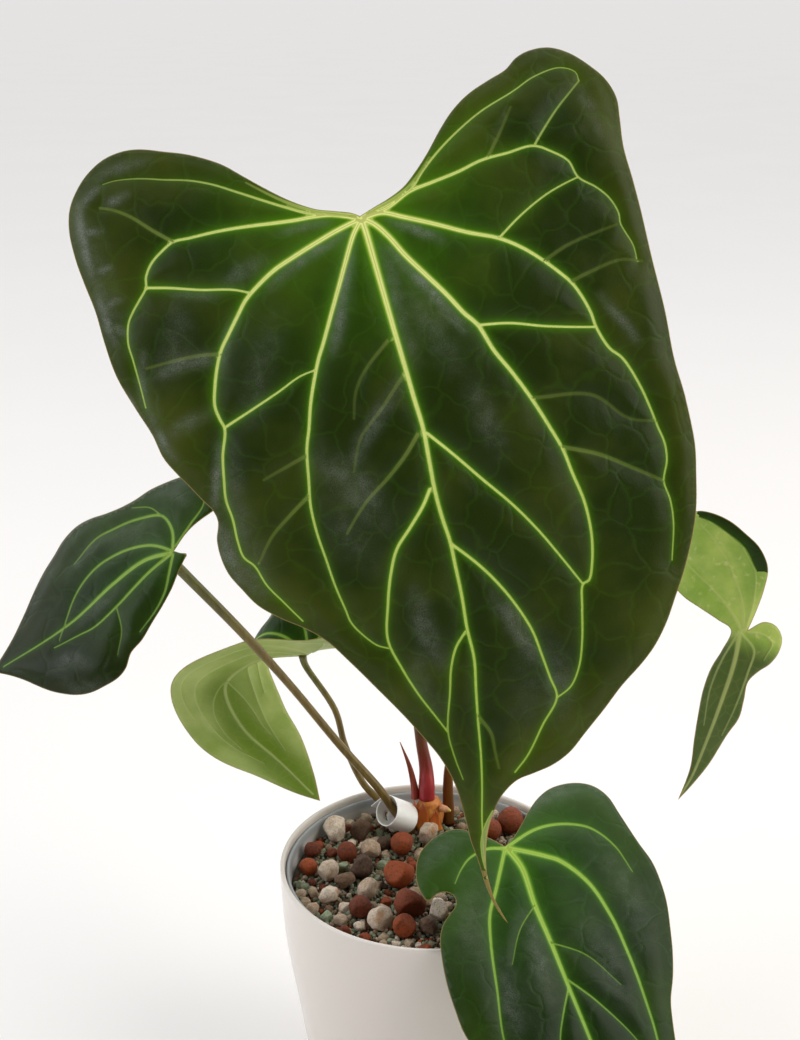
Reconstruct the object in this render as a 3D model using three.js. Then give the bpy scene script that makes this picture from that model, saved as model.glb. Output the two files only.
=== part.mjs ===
// A potted anthurium hybrid: a white cover pot with a grey liner, a coarse mineral mix,
// a short rootstock and five heart-shaped leaves on long stalks, the largest one in front.
// Millimetres, Z up, the origin at the middle of the pot's foot, the front towards -Y.

import * as THREE from "three";
import { TessellateModifier } from "three/addons/modifiers/TessellateModifier.js";
import { mergeVertices } from "three/addons/utils/BufferGeometryUtils.js";

// Driving sizes
const POT_HEIGHT = 140;
const POT_RIM_RADIUS = 75;
const POT_WALL = 2.5;
const POT_FLOOR = 3;
const LINER_WALL = 1.6;
const LINER_DROP = 3;
const BED_HEIGHT = 128;
const BLADE_THICKNESS = 0.8;
const SEAT_GAP = 0.3;
const ROUND_STEPS = 40;
const STALK_RINGS = 3;
const STALK_SIDES = 8;

// Places on the leaves are given as they are seen from one standpoint in front of the plant:
// x to the right and y down, with the lines of sight fanning out from the standpoint.
const STANDPOINT = new THREE.Vector3(-15, -648.5, 557);
const LOOK_DOWN = THREE.MathUtils.degToRad(20);
const VIEW_MIDDLE = [400, 520];
const VIEW_REACH = 1500;
const AHEAD = new THREE.Vector3(0, Math.cos(LOOK_DOWN), -Math.sin(LOOK_DOWN));
const UPRIGHT = new THREE.Vector3(0, Math.sin(LOOK_DOWN), Math.cos(LOOK_DOWN));

const WHITE = { color: 0xe9e6e1, roughness: 0.35 };
const GREY = { color: 0x9aa1a4, roughness: 0.45 };
const BARK_MIX = { color: 0x5d5a48, roughness: 0.95 };
const CLAY = { color: 0x8a3f27, roughness: 0.9 };
const PUMICE = { color: 0xd9cbb9, roughness: 0.95 };
const STONE = { color: 0x6f6559, roughness: 0.9 };
const LEAF_GREEN = { color: 0x24401d, roughness: 0.4 };
const STALK_BROWN = { color: 0x6b4a22, roughness: 0.5 };
const STALK_RED = { color: 0x7d2b23, roughness: 0.45 };
const ROOTSTOCK_ORANGE = { color: 0xb9692f, roughness: 0.6 };
const TAG_WHITE = { color: 0xf4f3f0, roughness: 0.4 };

const vec = (x, y, z) => new THREE.Vector3(x, y, z);

function material(look) {
  return new THREE.MeshStandardMaterial({ metalness: 0, ...look });
}

// Six times the volume inside a list of triangles, negative when they face inwards.
function signedVolume(points, index) {
  let sum = 0;
  for (let i = 0; i < index.length; i += 3) {
    const [a, b, c] = [0, 1, 2].map((k) => points[index[i + k]]);
    sum += a.dot(b.clone().cross(c));
  }
  return sum;
}

// A closed body with its faces turned outwards.
function body(name, points, index, look) {
  const faces = [...index];
  if (signedVolume(points, faces) < 0) faces.reverse();
  const geometry = new THREE.BufferGeometry().setFromPoints(points).setIndex(faces);
  geometry.computeVertexNormals();
  const mesh = new THREE.Mesh(geometry, material(look));
  mesh.name = name;
  return mesh;
}

// The same from one of the library's geometries, with its shared corners merged.
function solid(name, geometry, look) {
  geometry.deleteAttribute("normal");
  geometry.deleteAttribute("uv");
  const merged = mergeVertices(geometry, 1e-3);
  const place = merged.attributes.position;
  const points = [];
  for (let i = 0; i < place.count; i += 1) points.push(new THREE.Vector3().fromBufferAttribute(place, i));
  return body(name, points, merged.index.array, look);
}

// A turned piece: pairs of radius and height, from the axis back to the axis.
function turned(name, profile, look) {
  const outline = profile.map(([radius, height]) => new THREE.Vector2(radius, height));
  const geometry = new THREE.LatheGeometry(outline, ROUND_STEPS);
  geometry.rotateX(Math.PI / 2);
  return solid(name, geometry, look);
}

// The line of sight through a place in view; its length grows by 1 for each mm ahead.
function sight([x, y]) {
  const right = (x - VIEW_MIDDLE[0]) / VIEW_REACH;
  const up = (VIEW_MIDDLE[1] - y) / VIEW_REACH;
  return AHEAD.clone().addScaledVector(vec(1, 0, 0), right).addScaledVector(UPRIGHT, up);
}

// Where the line of sight reaches a depth of y, a height of z, or a tilted plane.
function atDepth(seen, y) {
  const line = sight(seen);
  return STANDPOINT.clone().addScaledVector(line, (y - STANDPOINT.y) / line.y);
}

function atHeight(seen, z) {
  const line = sight(seen);
  return STANDPOINT.clone().addScaledVector(line, (z - STANDPOINT.z) / line.z);
}

function onPlane(seen, origin, facing, lift) {
  const line = sight(seen);
  const away = origin.clone().sub(STANDPOINT).dot(facing) + lift;
  return STANDPOINT.clone().addScaledVector(line, away / line.dot(facing));
}

// Cover pot and liner

// The pot's outer radius at a height: nearly upright below the rim, then drawn in to the foot.
const potSide = new THREE.SplineCurve([
  new THREE.Vector2(52, 4),
  new THREE.Vector2(61.6, 30),
  new THREE.Vector2(68.3, 70),
  new THREE.Vector2(73.2, 104),
  new THREE.Vector2(POT_RIM_RADIUS, POT_HEIGHT - 1.5),
]);
const SIDE_STEPS = 9;

function potSideAt(share) {
  const { x, y } = potSide.getPoint(share);
  return [x, y];
}

function coverPot() {
  const outside = [];
  const inside = [];
  for (let i = 0; i <= SIDE_STEPS; i += 1) {
    const [radius, height] = potSideAt(i / SIDE_STEPS);
    outside.push([radius, height]);
    if (i > 0) inside.unshift([radius - POT_WALL, height]);
  }
  const foot = [[0, 0], [48, 0], [50.5, 1.2]];
  const rim = [[POT_RIM_RADIUS - 0.5, POT_HEIGHT - 0.4], [POT_RIM_RADIUS - POT_WALL / 2, POT_HEIGHT]];
  const floor = [[50, POT_FLOOR + 1], [48, POT_FLOOR], [0, POT_FLOOR]];
  return turned("cover_pot", [...foot, ...outside, ...rim, ...inside, ...floor], WHITE);
}

const LINER_TOP = POT_HEIGHT - LINER_DROP;
const LINER_FLOOR = POT_FLOOR + SEAT_GAP;
const LINER_RADIUS = POT_RIM_RADIUS - POT_WALL - 0.6;
const LINER_FOOT_RADIUS = 46;
const BED_CLEAR = LINER_WALL + SEAT_GAP;

// The liner's outer radius at a height: it stands clear of the pot and meets it near the rim.
function linerRadius(height) {
  const share = (height - LINER_FLOOR) / (LINER_TOP - LINER_FLOOR);
  const lean = THREE.MathUtils.lerp(LINER_FOOT_RADIUS, LINER_RADIUS, share);
  const BELLY = 4.5;
  return lean + BELLY * Math.sin(Math.PI * share);
}

// Heights at which the liner's side and the mix inside it change their slope.
const SLOPE_HEIGHTS = [8, 30, 55, 80, 105, BED_HEIGHT];

function liner() {
  const outside = SLOPE_HEIGHTS.map((z) => [linerRadius(z), z]);
  const inside = SLOPE_HEIGHTS.map((z) => [linerRadius(z) - LINER_WALL, z]).reverse();
  const lip = [[LINER_RADIUS, LINER_TOP], [LINER_RADIUS - LINER_WALL, LINER_TOP]];
  const floor = LINER_FLOOR + LINER_WALL;
  const foot = [[0, LINER_FLOOR], [LINER_FOOT_RADIUS, LINER_FLOOR]];
  const basin = [[LINER_FOOT_RADIUS - LINER_WALL, floor], [0, floor]];
  return turned("grow_liner", [...foot, ...outside, ...lip, ...inside, ...basin], GREY);
}

function growingMix() {
  const bottom = LINER_FLOOR + LINER_WALL + SEAT_GAP;
  const wall = SLOPE_HEIGHTS.map((z) => [linerRadius(z) - BED_CLEAR, z]);
  const foot = LINER_FOOT_RADIUS - BED_CLEAR - 0.5;
  return turned("growing_mix", [[0, bottom], [foot, bottom], ...wall, [0, BED_HEIGHT]], BARK_MIX);
}

// Stalks

// A tapering round stalk through the given places, with a flat cut at both ends.
// Every stretch between two places gets the same number of rings.
function stalk(name, places, radii, look) {
  const route = new THREE.CatmullRomCurve3(places);
  const thickness = new THREE.SplineCurve(radii.map((radius, i) => new THREE.Vector2(i, radius)));
  const steps = STALK_RINGS * (places.length - 1);
  const points = [];
  const index = [];
  let side = vec(1, 0, 0);
  for (let i = 0; i <= steps; i += 1) {
    const middle = route.getPoint(i / steps);
    const ahead = route.getTangent(i / steps);
    const radius = thickness.getPoint(i / steps).y;
    side = side.clone().addScaledVector(ahead, -side.dot(ahead)).normalize();
    const other = ahead.clone().cross(side);
    for (let k = 0; k < STALK_SIDES; k += 1) {
      const turn = (2 * Math.PI * k) / STALK_SIDES;
      points.push(middle.clone()
        .addScaledVector(side, radius * Math.cos(turn))
        .addScaledVector(other, radius * Math.sin(turn)));
    }
  }
  const row = (i, k) => i * STALK_SIDES + (k % STALK_SIDES);
  const ends = [points.push(places[0]) - 1, points.push(places.at(-1)) - 1];
  for (let k = 0; k < STALK_SIDES; k += 1) {
    for (let i = 0; i < steps; i += 1) {
      index.push(row(i, k), row(i, k + 1), row(i + 1, k + 1));
      index.push(row(i, k), row(i + 1, k + 1), row(i + 1, k));
    }
    index.push(ends[0], row(0, k + 1), row(0, k));
    index.push(ends[1], row(steps, k), row(steps, k + 1));
  }
  return body(name, points, index, look);
}

// Leaf blades

// A blade is a flat heart-shaped outline whose every place is carried into space by `place`.
function blade(name, outline, longestEdge, place) {
  const contour = outline.map(([x, y]) => new THREE.Vector2(x, y));
  const flat = new THREE.BufferGeometry()
    .setFromPoints(contour.map((p) => vec(p.x, p.y, 0)))
    .setIndex(THREE.ShapeUtils.triangulateShape(contour, []).flat());
  const cut = new TessellateModifier(longestEdge, 12).modify(flat);
  const net = mergeVertices(cut, 1e-3);
  const at = net.attributes.position;
  const faces = [...net.index.array];
  const upper = [];
  const lower = [];
  const nudge = 0.5;
  for (let i = 0; i < at.count; i += 1) {
    const [x, y] = [at.getX(i), at.getY(i)];
    const middle = place([x, y]);
    const across = place([x + nudge, y]).sub(place([x - nudge, y]));
    const along = place([x, y + nudge]).sub(place([x, y - nudge]));
    const out = across.cross(along).setLength(BLADE_THICKNESS / 2);
    upper.push(middle.clone().add(out));
    lower.push(middle.clone().sub(out));
  }
  const count = upper.length;
  const edges = new Set();
  for (let i = 0; i < faces.length; i += 3) {
    for (let k = 0; k < 3; k += 1) edges.add(`${faces[i + k]} ${faces[i + ((k + 1) % 3)]}`);
  }
  const index = [...faces];
  for (let i = 0; i < faces.length; i += 3) {
    index.push(faces[i] + count, faces[i + 2] + count, faces[i + 1] + count);
  }
  for (const edge of edges) {
    const [a, b] = edge.split(" ").map(Number);
    if (!edges.has(`${b} ${a}`)) index.push(b, a, a + count, b, a + count, b + count);
  }
  return body(name, [...upper, ...lower], index, LEAF_GREEN);
}

// A blade given as it is seen: it lies on a tilted plane through its joint and bends away from it.
// The bends say how far the sides, the tip and the back lobes drop, and at what distance.
function seenBlade({ joint, depth, facing, tip, bends }) {
  const origin = STANDPOINT.clone().addScaledVector(sight(joint), depth);
  const out = facing.clone().normalize();
  const along = onPlane(tip, origin, out, 0).sub(origin).normalize();
  const across = out.clone().cross(along);
  return (seen) => {
    const flat = onPlane(seen, origin, out, 0).sub(origin);
    const side = flat.dot(across);
    const down = flat.dot(along);
    const [sideDrop, sideReach] = bends.side;
    const [tipDrop, tipReach] = bends.tip;
    const [lobeDrop, lobeReach] = bends.lobes;
    const lift = -sideDrop * (side / sideReach) ** 2
      - tipDrop * (Math.max(down, 0) / tipReach) ** 2
      - lobeDrop * (Math.max(-down, 0) / lobeReach) ** 2;
    return onPlane(seen, origin, out, lift);
  };
}

// The underside of a blade at its joint, a stalk's gap behind it, and the way towards it.
function stalkEnd(place, seen, fromBehind, gap = 1.5 * SEAT_GAP) {
  const nudge = 0.5;
  const [x, y] = seen;
  const across = place([x + nudge, y]).sub(place([x - nudge, y]));
  const along = place([x, y + nudge]).sub(place([x, y - nudge]));
  const out = across.cross(along).normalize();
  if (out.dot(fromBehind) > 0) out.negate();
  const clearance = BLADE_THICKNESS / 2 + gap;
  const end = place(seen).addScaledVector(out, -clearance);
  return { end, before: end.clone().addScaledVector(out, -STALK_LEAD) };
}

const STALK_LEAD = 7;
const LONGEST_EDGE = 44;

const mainLeaf = {
  joint: [361, 218],
  depth: 640,
  facing: AHEAD.clone().negate(),
  tip: [492, 900],
  bends: { side: [10, 130], tip: [22, 300], lobes: [12, 70] },
  outline: [
    [360, 216], [352, 213], [335, 211], [316, 209], [294, 202], [268, 190], [244, 177], [223, 165],
    [207, 159], [186, 154], [164, 152], [140, 150], [123, 152], [103, 160], [86, 175], [75, 194],
    [69, 213], [69, 233], [75, 257], [85, 285], [95, 311], [104, 341], [117, 378], [136, 410],
    [152, 435], [163, 458], [175, 472], [189, 486], [202, 500], [213, 511], [218, 522], [217, 540],
    [221, 558], [229, 575], [242, 590], [257, 605], [280, 618], [306, 629], [328, 642], [349, 661],
    [375, 687], [402, 714], [421, 735], [439, 756], [450, 774], [457, 790], [464, 815], [473, 845],
    [481, 874], [487, 891], [495, 906], [505, 921], [497, 903], [491, 884], [487, 862], [488, 840],
    [491, 818], [497, 803], [505, 791], [517, 780], [534, 773], [552, 765], [569, 752], [584, 734],
    [602, 712], [621, 687], [641, 664], [656, 643], [667, 621], [675, 597], [685, 568], [692, 537],
    [696, 508], [696, 474], [695, 441], [685, 398], [676, 365], [666, 316], [651, 253], [642, 214],
    [633, 181], [624, 148], [620, 120], [616, 98], [605, 79], [588, 64], [568, 52], [549, 47],
    [531, 50], [516, 58], [505, 70], [488, 80], [468, 94], [451, 112], [440, 129], [427, 153],
    [416, 170], [403, 187], [388, 199], [373, 208],
  ],
};

const leftLeaf = {
  joint: [173, 552],
  depth: 718,
  facing: vec(-0.25, -0.62, 0.74),
  tip: [-8, 672],
  bends: { side: [14, 60], tip: [16, 100], lobes: [3, 40] },
  outline: [
    [174, 551], [184, 536], [193, 526], [203, 518], [213, 511], [222, 502], [224, 491], [216, 482],
    [203, 476], [190, 475], [178, 478], [165, 483], [150, 490], [135, 500], [120, 508], [105, 514],
    [90, 519], [76, 527], [63, 541], [54, 556], [44, 572], [34, 592], [24, 615], [12, 640],
    [0, 660], [-8, 672], [8, 675], [24, 680], [40, 687], [54, 692], [75, 695], [90, 693],
    [105, 686], [118, 678], [126, 668], [131, 653], [142, 640], [152, 623], [163, 605], [172, 588],
    [178, 573], [184, 560], [187, 554], [180, 553],
  ],
};

const frontLeaf = {
  joint: [507, 848],
  depth: 714,
  facing: vec(0.1, -0.35, 0.93),
  tip: [643, 1185],
  bends: { side: [5, 60], tip: [46, 150], lobes: [3, 40] },
  outline: [
    [505, 846], [513, 838], [521, 825], [528, 812], [537, 799], [549, 789], [563, 784], [580, 783],
    [595, 787], [608, 797], [618, 812], [630, 830], [640, 845], [652, 862], [660, 880], [666, 900],
    [670, 925], [673, 950], [673, 975], [671, 1000], [673, 1020], [676, 1045], [678, 1080],
    [676, 1110], [668, 1140], [655, 1165], [643, 1185], [625, 1165], [590, 1135], [550, 1105],
    [510, 1080], [480, 1055], [465, 1035], [455, 1010], [447, 985], [442, 960], [440, 940],
    [443, 925], [450, 914], [456, 905], [454, 896], [446, 892], [437, 894], [428, 901],
    [421, 893], [416, 878], [417, 862], [422, 850], [431, 840], [444, 832], [457, 829], [472, 832],
    [490, 838],
  ],
};

const rightLeaf = {
  joint: [744, 633],
  depth: 740,
  facing: vec(-0.3, -0.9, 0.3),
  tip: [678, 800],
  bends: { side: [8, 50], tip: [10, 90], lobes: [-14, 60] },
  outline: [
    [748, 630], [756, 612], [764, 590], [768, 568], [760, 548], [745, 533], [730, 521], [712, 513],
    [697, 511], [682, 518], [669, 538], [665, 562], [672, 583], [684, 597], [700, 608], [718, 620],
    [731, 630], [722, 650], [711, 668], [703, 690], [698, 715], [694, 740], [690, 768], [678, 800],
    [692, 785], [709, 764], [727, 735], [739, 718], [744, 700], [748, 682], [758, 672], [770, 664],
    [779, 652], [782, 638], [776, 626], [764, 622],
  ],
};

// The leaf behind the pot folds upwards along its midrib near the stalk and then hangs down.
// Stations run along the midrib, with the way each half spreads there.
const backLeaf = {
  length: 150,
  midrib: [
    vec(-63.5, 95, 209), vec(-92, 99, 203), vec(-112, 103, 186),
    vec(-104, 103, 160), vec(-86, 98, 142), vec(-64, 90, 123),
  ],
  nearHalf: [
    vec(0, -0.8, 0.6), vec(-0.3, -0.75, 0.6), vec(-0.85, -0.5, 0.2),
    vec(-0.95, -0.2, -0.25), vec(-0.85, -0.1, -0.5), vec(-0.85, -0.1, -0.5),
  ],
  farHalf: [
    vec(0.1, 0.4, 0.9), vec(0.3, 0.5, 0.8), vec(0.6, 0.65, 0.45),
    vec(0.85, 0.4, 0.35), vec(0.85, 0.2, 0.45), vec(0.85, 0.2, 0.45),
  ],
  half: [
    [3, -7], [10, -17], [20, -22], [30, -18], [37, -6], [39, 12], [37, 32], [33, 52], [27, 74],
    [20, 96], [13, 116], [6, 134],
  ],
};

function backPlace({ length, midrib, nearHalf, farHalf }) {
  const spine = new THREE.CatmullRomCurve3(midrib);
  const near = new THREE.CatmullRomCurve3(nearHalf);
  const far = new THREE.CatmullRomCurve3(farHalf);
  return ([side, down]) => {
    const share = THREE.MathUtils.clamp(down / length, 0, 1);
    const middle = spine.getPoint(share);
    if (down < 0) middle.addScaledVector(spine.getTangent(0), down);
    const spread = (side < 0 ? near : far).getPoint(share).normalize();
    return middle.addScaledVector(spread, Math.abs(side));
  };
}

function backOutline({ length, half }) {
  const right = half.map(([side, down]) => [side, down]);
  const left = half.map(([side, down]) => [-side, down]).reverse();
  return [[0, 0], ...right, [0, length], ...left];
}

// Stalk routes: the foot stands on the mix, the head meets the blade squarely from behind.

const FOOT = BED_HEIGHT + SEAT_GAP;
const above = (foot, rise) => foot.clone().add(vec(0, 0, rise));

const STALK_RADII = [3.4, 2.6, 2.3, 2.1, 2.1, 2.6, 2.9];
const THIN_RADII = [2.6, 2, 1.8, 1.7, 1.8, 2.2];
const SHORT_RADII = [2.6, 2.2, 2.1, 2.3];

const ROOTSTOCK = atHeight([429, 828], BED_HEIGHT);
const ROOTSTOCK_HEIGHT = 18;
const ROOTSTOCK_RADIUS = 7.8;
const CROWN_TOP = FOOT + ROOTSTOCK_HEIGHT;

function rootstock() {
  const heights = [0, 0.25, 0.55, 0.85, 1].map((s) => FOOT + s * ROOTSTOCK_HEIGHT);
  const radii = [0.75, 0.92, 1, 1, 0.95].map((s) => s * ROOTSTOCK_RADIUS);
  const wall = heights.map((z, i) => [radii[i], z]);
  const mesh = turned("rootstock", [[0, FOOT], ...wall, [0, CROWN_TOP]], ROOTSTOCK_ORANGE);
  mesh.position.set(ROOTSTOCK.x, ROOTSTOCK.y, 0);
  return mesh;
}

const places = {
  main: seenBlade(mainLeaf),
  left: seenBlade(leftLeaf),
  front: seenBlade(frontLeaf),
  right: seenBlade(rightLeaf),
  back: backPlace(backLeaf),
};

// The fold of the back leaf draws away from its stalk, which therefore ends nearer to the midrib.
const FOLD_GAP = -0.3;

// Where the stalks stand
const MAIN_FOOT = vec(ROOTSTOCK.x - 1.4, ROOTSTOCK.y, CROWN_TOP + SEAT_GAP);
const LEFT_FOOT = vec(-10.2, 42.6, FOOT);
const RIGHT_FOOT = vec(ROOTSTOCK.x + 10.4, ROOTSTOCK.y + 5.2, FOOT);
const BACK_FOOT = vec(-25, 59, FOOT);
const FRONT_FOOT = vec(21, 28, FOOT);

function stalks() {
  const main = stalkEnd(places.main, [363, 226], AHEAD);
  const left = stalkEnd(places.left, [168, 556], AHEAD);
  const front = stalkEnd(places.front, [509, 855], AHEAD);
  const right = stalkEnd(places.right, [738, 640], AHEAD);
  const back = stalkEnd(places.back, [0, 5], vec(0.3, -0.3, -1), FOLD_GAP);
  return [
    stalk("main_leaf_stalk", [MAIN_FOOT, above(MAIN_FOOT, 8), atDepth([426, 768], 51),
      atDepth([421, 740], 51), vec(-12, 53, 250), vec(-22, 50, 330), vec(-31, 42, 400),
      vec(-35, 30, 437), main.before, main.end], [4.2, 4.2, 3.2, 2.6, 2.4, 2.4, 2.9, 3], STALK_RED),
    stalk("left_leaf_stalk", [LEFT_FOOT, above(LEFT_FOOT, 3), vec(-12.6, 42.4, 136.4),
      vec(-17, 42, 141.5), atDepth([380, 790], 42.6), atDepth([340, 745], 46),
      atDepth([290, 685], 40), atDepth([240, 630], 32), left.before, left.end],
    STALK_RADII, STALK_BROWN),
    stalk("right_leaf_stalk", [RIGHT_FOOT, above(RIGHT_FOOT, 8), atDepth([448, 785], 54),
      atDepth([450, 762], 53), vec(30, 54, 230), vec(70, 60, 284), vec(116, 68, 303),
      vec(149, 74, 281), right.before, right.end], STALK_RADII, STALK_BROWN),
    stalk("back_leaf_stalk", [BACK_FOOT, above(BACK_FOOT, 8), atDepth([363, 783], 63), atDepth([345, 745], 72),
      atDepth([335, 710], 78), back.before, back.end], THIN_RADII, STALK_BROWN),
    stalk("front_leaf_stalk", [FRONT_FOOT, above(FRONT_FOOT, 7), vec(24, 12, 146), vec(31, -8, 152),
      front.before, front.end], SHORT_RADII, STALK_BROWN),
  ];
}

// On the rootstock: a dry pointed sheath beside the main stalk, and a short aerial root

const ROOT_TURN = THREE.MathUtils.degToRad(-32);

function rootstockTrim() {
  const { x, y } = ROOTSTOCK;
  const sheathFoot = vec(MAIN_FOOT.x - 6.1, y, CROWN_TOP + SEAT_GAP);
  const sheath = stalk("dry_sheath", [sheathFoot, above(sheathFoot, 3), atDepth([410, 768], y),
    atDepth([400, 742], y)], [1.5, 1.6, 1, 0.3], STALK_RED);
  const way = vec(Math.cos(ROOT_TURN), Math.sin(ROOT_TURN), 0);
  const seat = vec(x, y, FOOT + 0.8 * ROOTSTOCK_HEIGHT).addScaledVector(way, ROOTSTOCK_RADIUS + SEAT_GAP);
  const root = stalk("aerial_root", [seat, seat.clone().addScaledVector(way, 2),
    seat.clone().addScaledVector(way, 4).add(vec(1, 0, -0.4))], [2, 1.8, 1.1], ROOTSTOCK_ORANGE);
  return [sheath, root];
}

// Plant tag: a blank white strip bent into a loop round the left stalk, its tail to the back

const TAG = { width: 14, thickness: 0.6, deep: 10.5, wide: 8, tail: 8, start: -20, sweep: 355 };
const TAG_AXIS = vec(-0.76, -0.37, 0.54).normalize();
const TAG_MIDDLE = vec(-17, 42.5, 140);
const TAG_STEPS = 26;

// The strip's line, seen along the loop's axis: an oval whose last part runs out straight.
function tagLine() {
  const line = [];
  for (let i = 0; i <= TAG_STEPS; i += 1) {
    const share = i / TAG_STEPS;
    const turn = THREE.MathUtils.degToRad(TAG.start + TAG.sweep * share);
    const spiral = 1 + 0.22 * (1 - share) ** 2;
    const oval = new THREE.Vector2(TAG.deep * Math.cos(turn), TAG.wide * Math.sin(turn));
    line.push(oval.divideScalar(spiral));
  }
  const way = line.at(-1).clone().sub(line.at(-2)).normalize();
  line.push(line.at(-1).clone().addScaledVector(way, TAG.tail));
  return line;
}

function plantTag() {
  const line = tagLine();
  const half = TAG.thickness / 2;
  const shifted = (p, i, side) => {
    const run = line[Math.min(i + 1, line.length - 1)].clone().sub(line[Math.max(i - 1, 0)]).normalize();
    return p.clone().add(new THREE.Vector2(-run.y, run.x).multiplyScalar(side * half));
  };
  const outer = line.map((p, i) => shifted(p, i, 1));
  const inner = line.map((p, i) => shifted(p, i, -1)).reverse();
  const strip = new THREE.ExtrudeGeometry(new THREE.Shape([...outer, ...inner]), {
    depth: TAG.width, bevelEnabled: false,
  });
  strip.translate(0, 0, -TAG.width / 2);
  const mesh = solid("plant_tag", strip, TAG_WHITE);
  const deep = AHEAD.clone().addScaledVector(TAG_AXIS, -AHEAD.dot(TAG_AXIS)).normalize();
  const wide = TAG_AXIS.clone().cross(deep);
  mesh.quaternion.setFromRotationMatrix(new THREE.Matrix4().makeBasis(deep, wide, TAG_AXIS));
  mesh.position.copy(TAG_MIDDLE);
  return mesh;
}

// Loose stones on top of the mix: place in view, width in mm, kind

const ROUND = "clay_ball";
const PALE = "pumice";
const DARK = "lava_stone";
const STONES = [
  [313, 854, 9, ROUND], [309, 872, 9, ROUND], [353, 856, 10, ROUND], [401, 849, 12, ROUND],
  [399, 880, 15, ROUND], [411, 911, 15, ROUND], [403, 931, 11, ROUND], [362, 913, 11, ROUND],
  [516, 822, 14, ROUND], [494, 834, 11, ROUND], [337, 834, 14, PALE], [368, 853, 13, PALE],
  [327, 875, 12, PALE], [328, 898, 11, PALE], [367, 893, 12, PALE], [380, 921, 15, PALE],
  [437, 915, 11, PALE], [424, 838, 13, PALE], [503, 810, 10, PALE], [359, 873, 14, DARK],
  [360, 834, 12, DARK], [346, 884, 11, DARK], [384, 846, 9, DARK], [428, 931, 10, DARK],
];
const LOOKS = { [ROUND]: CLAY, [PALE]: PUMICE, [DARK]: STONE };
const STONE_GAP = 0.35;
const SETTLING_ROUNDS = 200;

// Stones are nudged apart and off the stalks until none touches its neighbour.
function settle(stones, posts) {
  const wallRadius = linerRadius(BED_HEIGHT) - LINER_WALL;
  for (let round = 0; round < SETTLING_ROUNDS; round += 1) {
    for (const a of stones) {
      for (const b of [...stones, ...posts]) {
        if (a === b) continue;
        const away = a.middle.clone().sub(b.middle);
        const short = a.radius + b.radius + STONE_GAP - away.length();
        if (short > 0) a.middle.addScaledVector(away.normalize(), short * (b.fixed ? 1 : 0.5));
      }
      const room = wallRadius - a.radius - STONE_GAP;
      if (a.middle.length() > room) a.middle.setLength(room);
    }
  }
}

// A stone's bumps: a smooth wave over its directions that differs from stone to stone.
function bump(direction, seed, depth) {
  const { x, y, z } = direction;
  const wave = Math.sin(3.1 * x + seed) * Math.cos(2.7 * y - 2 * seed) + Math.sin(3.7 * z + 1.7 * seed);
  return 1 - depth * (0.5 + 0.5 * wave * 0.5);
}

function looseStones(posts) {
  const stones = STONES.map(([x, y, size, kind], i) => {
    const seat = atHeight([x, y], BED_HEIGHT + size / 4);
    return { middle: new THREE.Vector2(seat.x, seat.y), radius: size / 2, kind, seed: i + 1 };
  });
  settle(stones, posts);
  const counts = {};
  return stones.map(({ middle, radius, kind, seed }) => {
    counts[kind] = (counts[kind] ?? 0) + 1;
    const shape = new THREE.IcosahedronGeometry(radius, 1);
    const depth = kind === ROUND ? 0.06 : 0.22;
    const at = shape.attributes.position;
    let lowest = 0;
    for (let i = 0; i < at.count; i += 1) {
      const p = new THREE.Vector3().fromBufferAttribute(at, i);
      p.multiplyScalar(bump(p.clone().normalize(), seed, depth));
      at.setXYZ(i, p.x, p.y, p.z);
      lowest = Math.min(lowest, p.z);
    }
    const mesh = solid(`${kind}_${counts[kind]}`, shape, LOOKS[kind]);
    mesh.position.set(middle.x, middle.y, FOOT - lowest);
    return mesh;
  });
}

const plant = new THREE.Group();
const post = ({ x, y }, radius) => ({ middle: new THREE.Vector2(x, y), radius, fixed: true });
const posts = [
  post(ROOTSTOCK, ROOTSTOCK_RADIUS),
  post(RIGHT_FOOT, 4),
  post(FRONT_FOOT, 3.2),
  post(vec(24, 14, 0), 5),
  post(BACK_FOOT, 3.2),
  post(LEFT_FOOT, 3.6),
  post(vec(-12, 35, 0), 5),
  post(ROOTSTOCK.clone().add(vec(12, -2, 0)), 4),
];

plant.add(coverPot(), liner(), growingMix(), rootstock(), ...rootstockTrim());
plant.add(...stalks(), plantTag());
plant.add(blade("main_leaf", mainLeaf.outline, LONGEST_EDGE, places.main));
plant.add(blade("left_leaf", leftLeaf.outline, LONGEST_EDGE, places.left));
plant.add(blade("front_leaf", frontLeaf.outline, LONGEST_EDGE, places.front));
plant.add(blade("right_leaf", rightLeaf.outline, LONGEST_EDGE, places.right));
plant.add(blade("back_leaf", backOutline(backLeaf), LONGEST_EDGE / 2, places.back));
plant.add(...looseStones(posts));

export default plant;
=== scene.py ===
# %% [markdown]
# # The looks of a potted anthurium hybrid
# The plant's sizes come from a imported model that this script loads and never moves. Every piece
# of that model is plain. Here each one is rebuilt as a fine surface in the same place: smooth
# turned pots, leaves with their veins, round stalks and a bed of broken stones.

# %% Load the fixed model
import math

import bmesh
import bpy
import numpy as np
from mathutils import Matrix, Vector
from mathutils.geometry import delaunay_2d_cdt
from mathutils.kdtree import KDTree


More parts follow.
